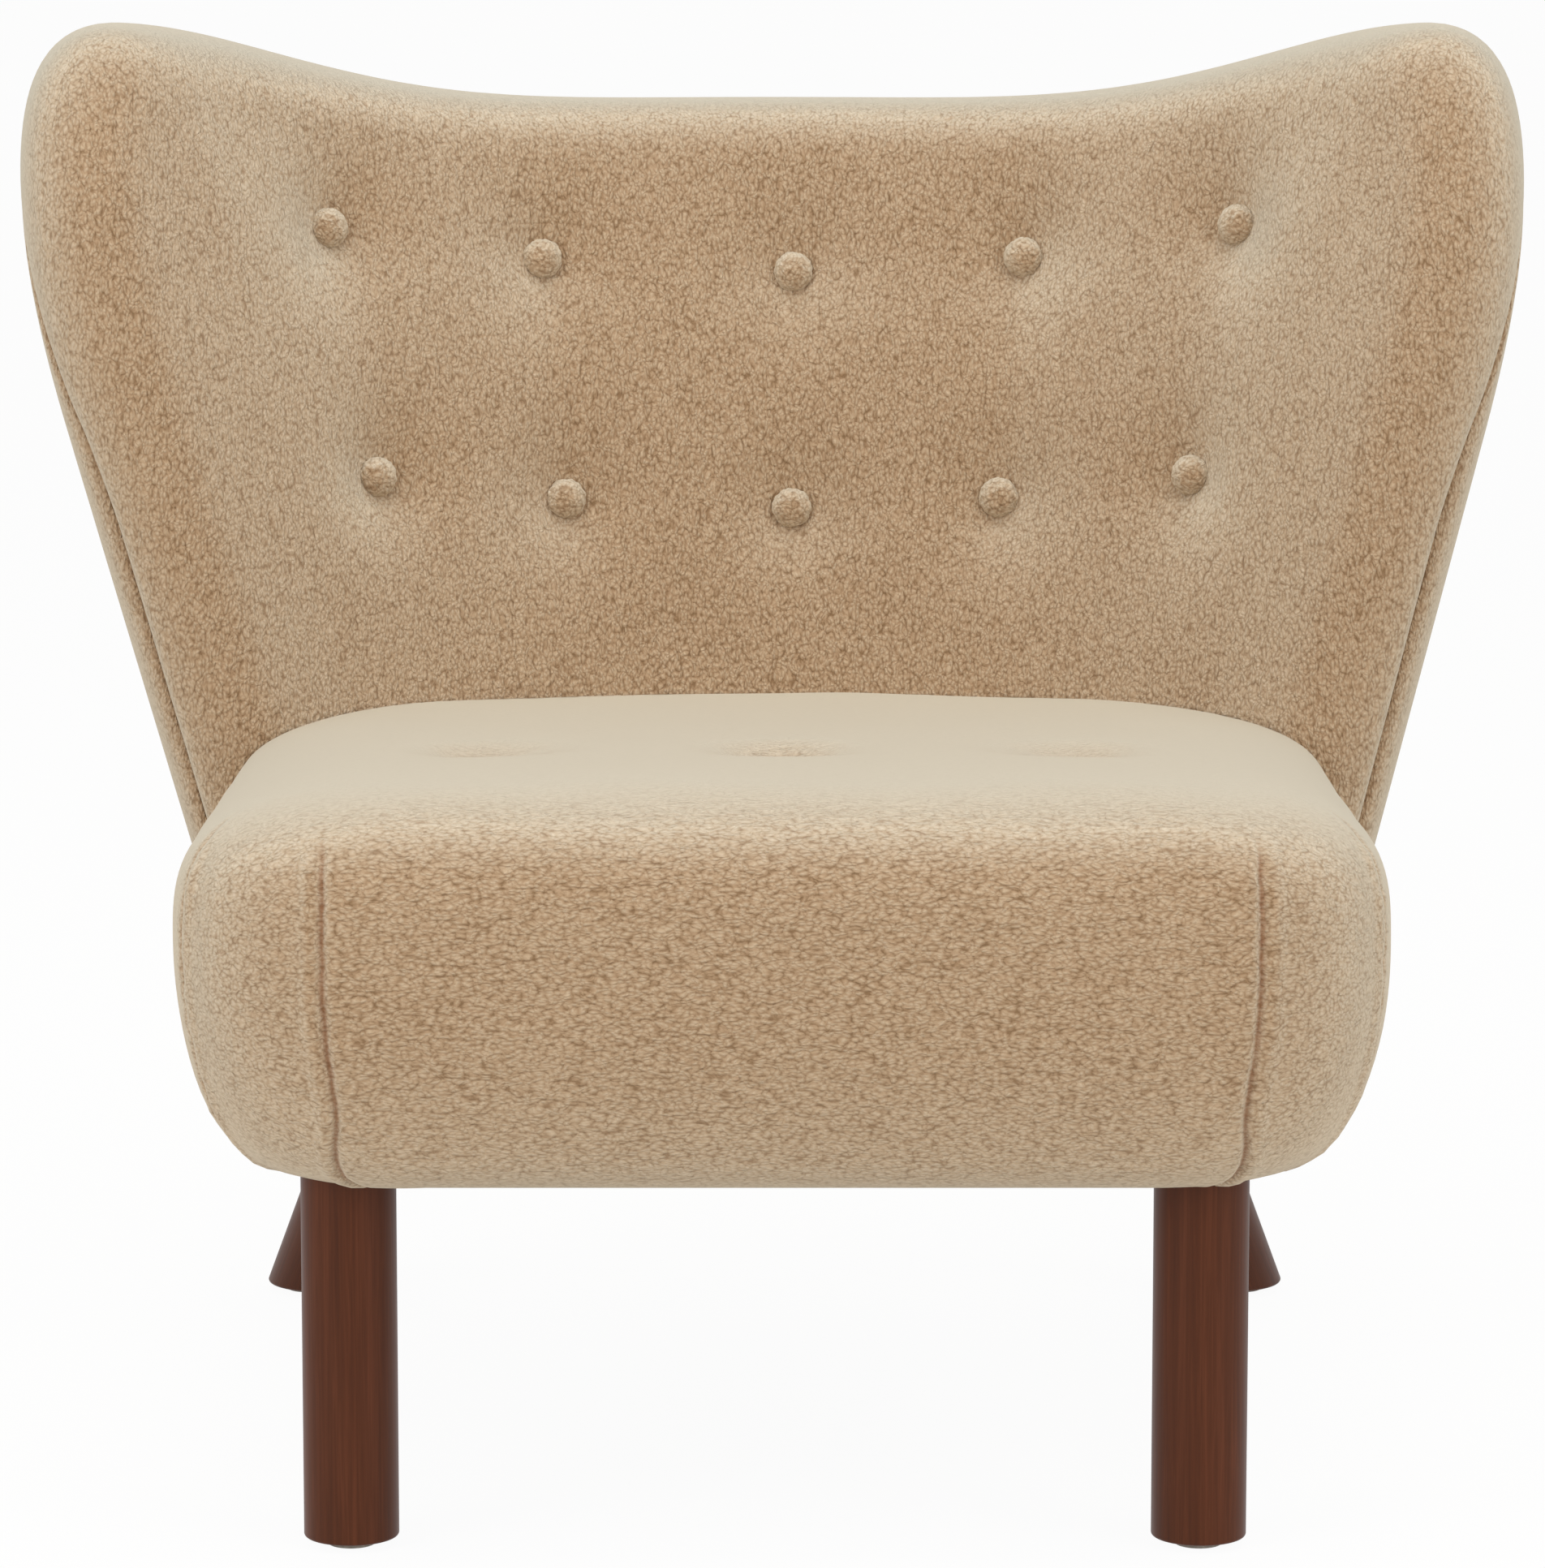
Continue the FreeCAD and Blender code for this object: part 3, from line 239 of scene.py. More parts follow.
def makePlain(name, dark, light, size, rough, metal=0.0, stretch=(1, 1, 1), bite=0.2):
    material, tree, shader = newMaterial(name, {"Roughness": rough, "Metallic": metal})
    place = node(tree, "ShaderNodeTexCoord").outputs["Object"]
    lay = node(tree, "ShaderNodeMapping", {"Vector": place, "Scale": stretch}).outputs["Vector"]
    grain = node(tree, "ShaderNodeTexNoise", {"Vector": lay, "Scale": 1 / size, "Detail": plainLook["detail"]})
    color = node(tree, "ShaderNodeValToRGB", {"Fac": grain.outputs["Fac"]}, (plainLook["stops"], (dark, light)))
    bump = node(tree, "ShaderNodeBump", {"Height": grain.outputs["Fac"], "Strength": bite,
                                         "Distance": plainLook["depth"]})
    tree.links.new(color.outputs["Color"], shader.inputs["Base Color"])
    tree.links.new(bump.outputs["Normal"], shader.inputs["Normal"])
    return material


legLean = {"splay": 0.365, "rake": 0.54}
# the three fleeces differ in the lie of their nubs and in how much painted top light, slope light and sheen they
# carry
fleeceBack = makeFleece("curledFleeceUpright", stretch=(1, 1, 0.6), slopeLightMost=0.75, topLightMost=1.5)
fleeceSeat = makeFleece("curledFleeceAcross", stretch=(0.55, 1, 1), slopeLightMost=1.0, topLightMost=0.95)
fleeceButton = makeFleece("curledFleeceButton", stretch=(0.8, 0.8, 0.8), slopeLightMost=0.9, topLightMost=1.2, sheenPaintMost=0.4)
walnutFront = makeWalnut("stainedWalnutUpright", (0, 0, 1))
walnutRear = {side: makeWalnut("stainedWalnut" + name, (-side * legLean["splay"], -legLean["rake"], 1))
              for name, side in (("Left", -1), ("Right", 1))}
# pale dull plastic, black matt cloth
glidePlastic = makePlain("mouldedNylonGlide", "#A79F92", "#C8C1B4", 3 * mm, 0.45)
dustCloth = makePlain("blackNonWovenCloth", "#141416", "#232326", 1.5 * mm, 0.9, bite=0.5)
# pale streaked wood, warmer wood with finer streaks, dull brown board
plywood = makePlain("birchPlywood", "#B98F5E", "#D9B785", 9 * mm, 0.7, stretch=(0.2, 1, 1))
beech = makePlain("planedBeech", "#B5834F", "#CFA270", 6 * mm, 0.6, stretch=(0.15, 1, 1))
hardboard = makePlain("bendingHardboard", "#6E4D30", "#8A6641", 4 * mm, 0.8)
# rough brown straps, cloudy grey felt, bright grey metal, yellowish twine, smooth off-white plastic
webbing = makePlain("wovenWebbing", "#5A3E26", "#7B5A3A", 2 * mm, 0.85, bite=0.5)
felt = makePlain("needledFelt", "#8D8A82", "#B2AEA4", 5 * mm, 0.95, bite=0.5)
zincSteel = makePlain("zincPlatedSteel", "#9EA2A6", "#C2C6C9", 6 * mm, 0.35, metal=1.0, bite=0.05)
twine = makePlain("waxedTwine", "#B49C74", "#D6C19A", 1.2 * mm, 0.7)
nylon = makePlain("naturalNylon", "#CFC8B8", "#E4DED0", 4 * mm, 0.4)
print("materials ready")


# the back: a fan of straight lines off a curved plan, padded on both faces
back = {"reach": 345, "middle": 450, "flare": 0.283, "recline": 15, "planRadius": 400, "wingAngle": 45,
        "middleY": 271.5, "half": 40, "roll": 40, "crown": 5, "crownRun": 140, "lowEdge": 184, "lowRound": 14,
        "centreTop": 651, "earTop": 699, "earShare": 0.85, "earCurve": 2.3, "earSide": 498,
        "footRise": 66, "footFrom": 0.8, "footSpan": 0.2, "upright": 0.0345, "uprightFrom": 545,
        "seamTurn": 46, "seamLow": 430, "seamSpan": 215, "seamFrom": 0.55, "seamFade": 0.3, "leastTurn": 0.01,
        "seamTuck": 2.6, "innerTuck": 2.5, "seamGap": 0.3, "leastFull": 0.05,
        "rimSteps": 900, "wingSteps": 360, "rimStride": 4, "rimNear": 6, "soleSteps": 200,
        "rollSteps": 10, "footSteps": 5, "columns": 56, "rows": 46}
wingTurn = math.radians(back["wingAngle"])
lean = math.tan(math.radians(back["recline"]))
edgeRun = back["reach"] / math.cos(wingTurn)
tuftFall = 2.3  # how steeply a tuft sinks towards its button


# foot, direction and outward way of the line at a share of the width, from -1 on the left to 1 on the right
def fan(share):
    side = 1 if share >= 0 else -1
    x = abs(share) * back["reach"]
    bend = back["planRadius"] * math.sin(wingTurn)
    turn = math.asin(x / back["planRadius"]) if x < bend else wingTurn
    sag = back["planRadius"] * (1 - math.cos(turn)) + max(0, x - bend) * math.tan(turn)
    spread = back["flare"] * abs(share)
    foot = Vector((side * x, back["middleY"] - sag, back["middle"]))
    way = Vector((side * spread, lean - spread * math.tan(turn), 1))
    out = Vector((side * math.sin(turn), math.cos(turn), -lean * math.cos(turn))).normalized()
    return foot, way, out


# the right wing stands a little more upright than the left one
def onBack(share, height, depth):
    foot, way, out = fan(share)
    stand = Vector((max(0, share) ** 2 * back["upright"] * (back["uprightFrom"] - height), 0, 0))
    return foot + way * (height - back["middle"]) + out * depth + stand


def topLine(share):
    share = abs(share)
    if share < back["earShare"]:
        rise = smooth((share / back["earShare"]) ** back["earCurve"])
        return back["centreTop"] + (back["earTop"] - back["centreTop"]) * rise
    part = clamp((share - back["earShare"]) / (1 - back["earShare"]))
    return back["earSide"] + (back["earTop"] - back["earSide"]) * math.sqrt(1 - part * part)


def lowLine(share):
    part = max(0, (abs(share) - back["footFrom"]) / back["footSpan"])
    return back["lowEdge"] + back["footRise"] * (1 - math.sqrt(max(0, 1 - part * part)))


def rollSpots(size, steps):
    return [size * (1 - math.cos(math.pi / 2 * i / steps)) for i in range(steps + 1)]


def treeOf(points):
    tree = KDTree(len(points))
    for i, point in enumerate(points):
        tree.insert(point, i)
    tree.balance()
    return tree


# the rim from the left foot over the top to the right foot, and the way inward at each of its points
def rimLine():
    low, steps, wingSteps = lowLine(1), back["rimSteps"], back["wingSteps"]
    wing = [low + (back["earSide"] - low) * i / wingSteps for i in range(wingSteps)]
    line = [(-1, z) for z in wing]
    for i in range(-steps, steps + 1):
        share = math.sin(math.pi / 2 * i / steps)
        line.append((share, topLine(share)))
    return line + [(1, z) for z in wing[::-1]]


rimShares = rimLine()
rimPoints = [onBack(share, height, 0) for share, height in rimShares]
rim = treeOf(rimPoints)
soleShares = [i / back["soleSteps"] for i in range(-back["soleSteps"], back["soleSteps"] + 1)]
sole = treeOf([onBack(share, lowLine(share), 0) for share in soleShares])


def inwardAt(index):
    a, b = max(0, index - back["rimStride"]), min(len(rimPoints) - 1, index + back["rimStride"])
    return fan(rimShares[index][0])[2].cross(rimPoints[b] - rimPoints[a]).normalized()


# how far round the roll the edge seam lies behind the rim: hidden at the ears, at the rim further down
def seamTurn(share, height):
    rise = smooth((height - back["seamLow"]) / back["seamSpan"])
    return math.radians(back["seamTurn"]) * rise * smooth((abs(share) - back["seamFrom"]) / back["seamFade"])


def aroundRoll(share, height, turn, radius, swell):
    point = onBack(share, height, 0)
    near, index, gap = rim.find(point)
    inward = (point - near).normalized() if gap > back["rimNear"] else inwardAt(index)
    heart = near + inward * back["roll"]
    return heart - inward * radius * math.cos(turn) + fan(share)[2] * swell * math.sin(turn)


backButtons = {"rows": ((552, 860), (427, 1060)), "inner": 0.37, "outer": 0.676, "shift": 0.012,
               "middleShift": 0.017, "radius": 10.5, "dome": 8, "pull": 12, "spread": 66, "seat": 9,
               "pleat": 1.6, "pleatWidth": 26, "proud": 2.4, "ripple": 1.1, "rippleSize": 75}


# two rows of five; each row has the height of its middle and the radius of its bow
def buttonSpots():
    spots = []
    for row, radius in backButtons["rows"]:
        for share in (-backButtons["outer"], -backButtons["inner"], 0, backButtons["inner"], backButtons["outer"]):
            place = share + backButtons["shift"] + (0 if share else backButtons["middleShift"])
            x = place * back["reach"]
            spots.append((place, row + x * x / (2 * radius)))
    return spots


spots = buttonSpots()
spotPoints = [onBack(share, height, 0) for share, height in spots]
# shallow pleats between the rows and along them, by the buttons' numbers
pleats = [(i, i + 5) for i in range(5)] + [(i, i + 1) for i in (0, 1, 2, 3, 5, 6, 7, 8)]


def tuftPull(point):
    pull = 0
    for spot in spotPoints:
        part = clamp(((point - spot).length - backButtons["seat"]) / backButtons["spread"])
        pull = max(pull, backButtons["pull"] * (1 - part) ** tuftFall)
    return pull


def pleatPull(point):
    pull = 0
    for a, b in pleats:
        run = spotPoints[b] - spotPoints[a]
        part = clamp((point - spotPoints[a]).dot(run) / run.length_squared)
        off = (point - spotPoints[a] - run * part).length
        pull = max(pull, backButtons["pleat"] * bell(off, backButtons["pleatWidth"]))
    return pull


def fullness(point):
    edge = clamp(1 - rim.find(point)[2] / back["roll"]) ** 2
    foot = clamp(1 - sole.find(point)[2] / back["lowRound"]) ** 2
    return math.sqrt(max(0, 1 - edge - foot))


def padDepth(point):
    plump = back["crown"] * smooth(rim.find(point)[2] / back["crownRun"])
    ripple = backButtons["ripple"] * noise.noise(point / backButtons["rippleSize"])
    return (ripple + pleatPull(point) - back["half"] - plump) * fullness(point) + tuftPull(point)


def panelDepth(point):
    return back["half"] * fullness(point)


# a grid with a second one over it, from -1 to 1 in x and y and from 0 to 1 in z
def shellGrid(name, columns, rows):
    deselectAll()
    bpy.ops.mesh.primitive_grid_add(x_subdivisions=columns, y_subdivisions=rows, size=2)
    piece = bpy.context.active_object
    piece.name = name
    piece.data.name = name
    bpy.ops.object.mode_set(mode="EDIT")
    bpy.ops.mesh.select_all(action="SELECT")
    bpy.ops.mesh.extrude_region_move(TRANSFORM_OT_translate={"value": (0, 0, 1)})
    bpy.ops.object.mode_set(mode="OBJECT")
    return piece


def gridSpot(v, columns, rows):
    return round((v.co.x + 1) / 2 * columns), round((v.co.y + 1) / 2 * rows)


def backShares():
    ends = [1 - run / edgeRun for run in rollSpots(back["roll"], back["rollSteps"])]
    inside = np.linspace(ends[-1], 0, back["columns"] + 1)[1:]
    half = ends + list(inside)
    return [-s for s in half] + half[-2::-1]


def backHeights(share):
    top, low = topLine(share), lowLine(share)
    high = [top - run for run in rollSpots(back["roll"], back["rollSteps"])]
    foot = [low + run for run in rollSpots(back["lowRound"], back["footSteps"])]
    inside = np.linspace(foot[-1], high[-1], back["rows"] + 1)[1:-1]
    return foot + list(inside) + high[::-1]


# side is -1 for the front face and 1 for the rear one; the hidden layer closes the piece inside
def backPiece(name, depthOf, side):
    shares = backShares()
    columns, rows = len(shares) - 1, len(backHeights(0)) - 1
    piece = shellGrid(name, columns, rows)
    heights = [backHeights(share) for share in shares]
    for v in piece.data.vertices:
        i, j = gridSpot(v, columns, rows)
        share, height = shares[i], heights[i][j]
        point = onBack(share, height, 0)
        hidden = v.co.z > 0.5
        edge = i in (0, columns) or j in (0, rows)
        gap = rim.find(point)[2]
        turned = seamTurn(share, height)
        tuck = back["seamTuck"] * (back["innerTuck"] if hidden else 1)
        if turned > back["leastTurn"] and edge:
            radius = back["roll"] - tuck
            v.co = aroundRoll(share, height, turned + side * back["seamGap"] / radius, radius, radius) * mm
        elif turned > back["leastTurn"] and gap < back["roll"] and not hidden:
            turn = math.acos(1 - gap / back["roll"])
            tuft = tuftPull(point) if side < 0 else 0
            swell = abs(depthOf(point) - tuft) / max(back["leastFull"], fullness(point))
            turn = side * turn + turned * (1 - turn * 2 / math.pi)
            v.co = aroundRoll(share, height, turn, back["roll"], swell) * mm
        elif edge or hidden:
            share *= 1 - tuck / edgeRun * (1 if i in (0, columns) or hidden else 0)
            height += tuck * (1 if j == 0 else -1 if j == rows else 0)
            v.co = onBack(share, height, side * back["seamGap"]) * mm
        else:
            v.co = onBack(share, height, depthOf(point)) * mm
    closeUp(piece)
    subdivide(piece, 1)
    return piece


frontPad = backPiece("backFrontPad", padDepth, -1)
dress(frontPad, fleeceBack)
rearPanel = backPiece("backRearPanel", panelDepth, 1)
dress(rearPanel, fleeceBack)
print("back pad and rear panel shaped", len(frontPad.data.polygons))


# covered buttons: a low dome, flatter underneath and a little uneven, wrapped in the same fleece
buttonForm = {"segments": 48, "rings": 24, "under": 0.6, "uneven": 0.1, "lumps": 4.5, "drift": 0.37}


def domeButton(name, place, outward, radius, dome):
    deselectAll()
    bpy.ops.mesh.primitive_uv_sphere_add(segments=buttonForm["segments"], ring_count=buttonForm["rings"], radius=1)
    piece = bpy.context.active_object
    piece.name = name
    turn = Vector((0, 0, 1)).rotation_difference(outward).to_matrix()
    for v in piece.data.vertices:
        flat = 1 if v.co.z > 0 else buttonForm["under"]
        lump = 1 + buttonForm["uneven"] * noise.noise(v.co * buttonForm["lumps"] + place * buttonForm["drift"])
        shape = Vector((v.co.x * radius, v.co.y * radius, v.co.z * dome * flat)) * lump
        v.co = (place + turn @ shape) * mm
    bpy.ops.object.shade_smooth()
    return piece


def backButtonSet():
    made = []
    for i, (share, height) in enumerate(spots):
        point = onBack(share, height, 0)
        out = -fan(share)[2]
        place = onBack(share, height, padDepth(point)) + out * backButtons["proud"]
        made.append(domeButton("backButton%d" % i, place, out, backButtons["radius"], backButtons["dome"]))
    return join(made, "backButtons")


buttons = backButtonSet()
dress(buttons, fleeceButton)
print("back buttons set")


# the seat: one thick cushion cover with a gusset let into each front corner
seat = {"width": 570, "shift": 3.3, "front": -355, "rear": 236.5, "lower": 177, "underside": 183.5, "wide": 285,
        "upper": 357, "lowDraw": 49, "highDraw": 175, "fullness": 3.5, "shoulder": 0.25,
        "hem": (120, 76, 60), "hemFold": 1, "hemRise": 0.8,
        "corner": 85, "leastCorner": 22, "cornerShrink": 0.35, "rearCorner": 150, "rearDraw": 40, "tilt": 3.1,
        "clear": 0.6, "underFoot": 16, "footSteps": 100,
        "tuftY": -115, "tuftPitch": 139, "tuftDepth": 20, "tuftSpread": 46, "tuftSeat": 8, "tuftFrom": 0.9,
        "tuftFade": 0.1, "tuftPaintedShade": 0.26, "tuftMark": 20, "tuftReach": 60, "tuftMottle": 6,
        "ripple": 1.0, "rippleSize": 70, "rippleRise": 30,
        "counts": {"front": 44, "corner": 44, "side": 34, "rearCorner": 12, "rear": 76},
        "lowTurns": (90, 76, 62, 50, 39, 29, 20, 12, 5),
        "highParts": (0, 0.1, 0.2, 0.3, 0.4, 0.5, 0.59, 0.67, 0.74, 0.8, 0.85, 0.89, 0.92, 0.945, 0.962, 0.975,
                      0.984, 0.991, 0.996, 0.999, 1)}
# turns and slants are degrees round a front corner; each side, -1 and 1, has an inner and an outer seam
seams = {"turns": {-1: (7, 67), 1: (13, 70)}, "cornerSize": 80, "lastTurn": 140, "top": 341, "fade": 13,
         "depth": 2.0, "width": 2.0, "ridge": 1.5, "lip": 0.3, "ridgeOff": 6, "ridgeWidth": 4,
         "pucker": 1.3, "puckerRun": 14, "puckerRise": 7, "puckerReach": 10, "wander": 0.6, "wanderRun": 9,
         "line": 1.3, "threadShade": 0.6, "tintChange": 0.6, "tintRun": 5, "tintSlice": 7,
         "upright": 7, "slant": 13, "slantFrom": 232, "slantRun": 52, "slantCurve": 1.5, "slantMost": 30,
         "slantEase": 3, "slantHold": 16}
# from, to and count of the steps round a front corner, closer together where a seam runs
cornerSteps = ((0, 16, 16), (16, 58, 10), (58, 78, 14), (78, 90, 4))
cornerTurns = [turn for start, end, count in cornerSteps for turn in np.linspace(start, end, count, False)]
noCorner = 999  # the turn of points that no seam comes near


# one level of the cushion as (x, y, degrees round the nearer front corner), from the left end of the front
def seatRing(height, inset):
    n = seat["counts"]
    side, front, rear = seat["width"] / 2 - inset, seat["front"] + inset, seat["rear"]
    r = max(seat["leastCorner"], seat["corner"] - seat["cornerShrink"] * inset)
    b = seat["rearCorner"] - min(inset, seat["rearDraw"])
    start, ahead, astern = side - r, front + r, rear - b
    ring = [(start * (2 * i / n["front"] - 1), front) for i in range(n["front"])]
    ring = [(x, y, math.degrees((abs(x) - start) / r)) for x, y in ring]
    slant = seams["slant"] * smooth((seams["slantFrom"] - height) / seams["slantRun"]) ** seams["slantCurve"]
    if height > seat["wide"]:
        line = seat["width"] / 2 - seat["corner"] * (1 - math.sin(math.radians(seams["upright"])))
        slant = math.degrees(math.asin(clamp((line - start) / r))) - seams["upright"]
        slant = min(seams["slantMost"], slant)
    hold = seams["slantHold"]
    bow = []
    for t in cornerTurns + [90]:
        a = math.radians(t + slant * smooth(t / seams["slantEase"]) * (1 - smooth((t - hold) / (90 - hold))))
        bow.append((start + r * math.sin(a), ahead - r * math.cos(a), t))
    flank = [(side, ahead + (astern - ahead) * i / n["side"]) for i in range(n["side"] + 1)]
    flank = [(x, y, 90 + math.degrees((y - ahead) / r)) for x, y in flank]
    turns = [math.pi / 2 * i / n["rearCorner"] for i in range(n["rearCorner"] + 1)]
    heel = [(side - b + b * math.cos(a), astern + b * math.sin(a), noCorner) for a in turns]
    ring += bow[:-1] + flank[:-1] + heel[:-1]
    ring += [((side - b) * (1 - 2 * i / n["rear"]), rear, noCorner) for i in range(n["rear"])]
    for run in (heel, flank, bow):
        ring += [(-x, y, t) for x, y, t in run[:0:-1]]
    return ring


# levels from the underside to the top: height, how far in, and the share of the upper half
def seatLevels():
    low, high = seat["wide"] - seat["lower"], seat["upper"] - seat["wide"]
    hems = (seat["underside"], seat["underside"] - seat["hemFold"], seat["lower"] + seat["hemRise"])
    levels = [(height, inset, 0) for height, inset in zip(hems, seat["hem"])]
    for turn in seat["lowTurns"]:
        part = math.sin(math.radians(turn))
        levels.append((seat["wide"] - part * low, seat["lowDraw"] * (1 - math.cos(math.radians(turn))), 0))
    for part in seat["highParts"]:
        draw = seat["highDraw"] * (1 - (1 - part ** seat["fullness"]) ** seat["shoulder"])
        levels.append((seat["wide"] + part * high, draw, part))
    return levels


def nearestTuft(x, y):
    return min(math.hypot(x - i * seat["tuftPitch"], y - seat["tuftY"]) for i in (-1, 0, 1))


def seatTuft(x, y):
    part = clamp((nearestTuft(x, y) - seat["tuftSeat"]) / seat["tuftSpread"])
    return seat["tuftDepth"] * (1 - part) ** tuftFall


def seatHeight(x, y, height, share):
    tilt = math.radians(seat["tilt"]) * share
    sunk = seatTuft(x, y) * smooth((share - seat["tuftFrom"]) / seat["tuftFade"])
    return height - (y - seat["tuftY"]) * math.sin(tilt) - sunk


# the cushion is a grid with a second one over it; its walls are cut into levels and every point is put in place
def seatPiece():
    n = seat["counts"]
    half, heel = n["corner"] // 2, n["rearCorner"] // 2
    columns, rows = n["front"] + n["corner"], half + n["side"] + heel
    levels = seatLevels()
    rings = [seatRing(height, inset) for height, inset, share in levels]
    count, last = len(rings[0]), len(levels) - 1
    piece = shellGrid("seatCushion", columns, rows)
    heights = [v.co.z for v in piece.data.vertices]
    for edge in piece.data.edges:
        edge.select = abs(heights[edge.vertices[0]] - heights[edge.vertices[1]]) > 0.5
    for flat in (*piece.data.polygons, *piece.data.vertices):
        flat.select = False
    bpy.context.tool_settings.mesh_select_mode = (False, True, False)
    bpy.ops.object.mode_set(mode="EDIT")
    bpy.ops.mesh.subdivide(number_cuts=last - 1)
    bpy.ops.object.mode_set(mode="OBJECT")

    # which point of a ring an edge point of the grid is
    def spot(i, j):
        if j == 0:
            return (count - half + i) % count
        if i == columns:
            return columns - half + j
        if j == rows:
            return columns - half + rows + columns - i
        return 2 * columns - half + rows + rows - j

    # a point inside the ring, blended from the four edges
    def across(ring, i, j):
        u, v = i / columns, j / rows
        ends = [ring[spot(*at)] for at in ((i, 0), (i, rows), (0, j), (columns, j))]
        tips = [ring[spot(*at)] for at in ((0, 0), (columns, 0), (0, rows), (columns, rows))]
        shares = ((1 - u) * (1 - v), u * (1 - v), (1 - u) * v, u * v)
        return [(1 - v) * ends[0][k] + v * ends[1][k] + (1 - u) * ends[2][k] + u * ends[3][k]
                - sum(s * tip[k] for s, tip in zip(shares, tips)) for k in (0, 1)] + [noCorner]

    turns = []
    for v in piece.data.vertices:
        i, j = gridSpot(v, columns, rows)
        level = round(v.co.z * last)
        height, inset, share = levels[level]
        edge = i in (0, columns) or j in (0, rows)
        x, y, turn = rings[level][spot(i, j)] if edge else across(rings[level], i, j)
        v.co = Vector((x + seat["shift"], y, seatHeight(x, y, height, share))) * mm
        turns.append(turn)
    around = piece.data.attributes.new("cornerTurn", "FLOAT", "POINT")
    around.data.foreach_set("value", turns)
    closeUp(piece)
    subdivide(piece, 1)
    return piece


# the cushion ends at the face of the back, and under its foot
def keepOffBack(piece):
    points = [v.co for v in frontPad.data.vertices]
    tree = BVHTree.FromPolygons(points, [p.vertices for p in frontPad.data.polygons])
    shares = [i / seat["footSteps"] for i in range(-seat["footSteps"], seat["footSteps"] + 1)]
    foot = [onBack(share, lowLine(share), seat["underFoot"]) for share in shares]
    footX, footY = [p.x for p in foot], [p.y for p in foot]
    for v in piece.data.vertices:
        if v.co.y < 0:
            continue
        hit = tree.ray_cast(Vector((v.co.x, -1, v.co.z)), Vector((0, 1, 0)))[0]
        limit = hit.y - seat["clear"] * mm if hit else mm * np.interp(v.co.x / mm, footX, footY)
        v.co.y = min(v.co.y, limit)


# a groove between two ridges along each seam, with puckers, a dark line of thread colour and painted groove shade,
# and painted shade in the tuft pits
def sewSeams(piece):
    turns = [a.value for a in piece.data.attributes["cornerTurn"].data]
    normals = [v.normal.copy() for v in piece.data.vertices]
    gap, wide = seams["ridgeOff"], seams["ridgeWidth"]
    shades = []
    for v, turn, normal in zip(piece.data.vertices, turns, normals):
        z, shade = v.co.z / mm, 0
        rise = smooth((z - seat["lower"]) / seat["rippleRise"])
        push = seat["ripple"] * noise.noise(v.co / mm / seat["rippleSize"]) * rise
        fade = smooth((seams["top"] + seams["fade"] - z) / (2 * seams["fade"]))
        if turn < seams["lastTurn"] and fade > 0:
            places = seams["turns"][1 if v.co.x > 0 else -1]
            for inward, place in ((1, places[0]), (-1, places[1])):
                wander = seams["wander"] * noise.noise(Vector((place, z / seams["wanderRun"], 0)))
                off = inward * math.radians(turn - place) * seams["cornerSize"] + wander
                fold = noise.noise(Vector((off / seams["puckerRun"], z / seams["puckerRise"], place)))
                pucker = seams["pucker"] * fold * bell(off, seams["puckerReach"])
                ridge = seams["ridge"] * bell(off - gap, wide) + seams["lip"] * bell(off + gap, wide)
                push += fade * (pucker + ridge - seams["depth"] * bell(off, seams["width"]))
                # the seam's dark line: the thread's colour and painted shade down in the groove
                change = noise.noise(Vector((place, seams["tintSlice"], z / seams["tintRun"])))
                threadShade = seams["threadShade"] * (1 + seams["tintChange"] * change)
                shade = max(shade, fade * threadShade * bell(off, seams["line"]))
        # painted shade in the pits of the seat tufts, mottled
        run = nearestTuft(v.co.x / mm - seat["shift"], v.co.y / mm)
        if z > seat["wide"] and run < seat["tuftReach"]:
            mottle = 1 + noise.noise(v.co / mm / seat["tuftMottle"])
            shade = max(shade, seat["tuftPaintedShade"] * mottle * bell(run, seat["tuftMark"]))
        v.co += normal * push * mm
        shades.append(shade)
    line = piece.data.attributes.new("threadAndPaintedShade", "FLOAT", "POINT")
    line.data.foreach_set("value", shades)


cushion = seatPiece()
keepOffBack(cushion)
sewSeams(cushion)
dress(cushion, fleeceSeat)
print("seat cushion shaped", len(cushion.data.polygons))

tuftButtons = {"radius": 10.5, "dome": 7, "proud": 0.8}


def seatButtonSet():
    made = []
    height = seat["upper"] - seat["tuftDepth"] + tuftButtons["proud"]
    radius, dome = tuftButtons["radius"], tuftButtons["dome"]
    for i in (-1, 0, 1):
        place = Vector((i * seat["tuftPitch"] + seat["shift"], seat["tuftY"], height))
        made.append(domeButton("seatButton%d" % i, place, Vector((0, 0, 1)), radius, dome))
    return join(made, "seatButtons")


seatButtons = seatButtonSet()
dress(seatButtons, fleeceButton)
print("seat buttons set")


# bottom cloth, tacked under the seat, with a slight ripple
cloth = {"side": 207, "front": -290, "rear": 165, "height": 181.0, "thick": 0.8, "columns": 48, "rows": 52,
         "ripple": 0.45, "rippleSize": 60}


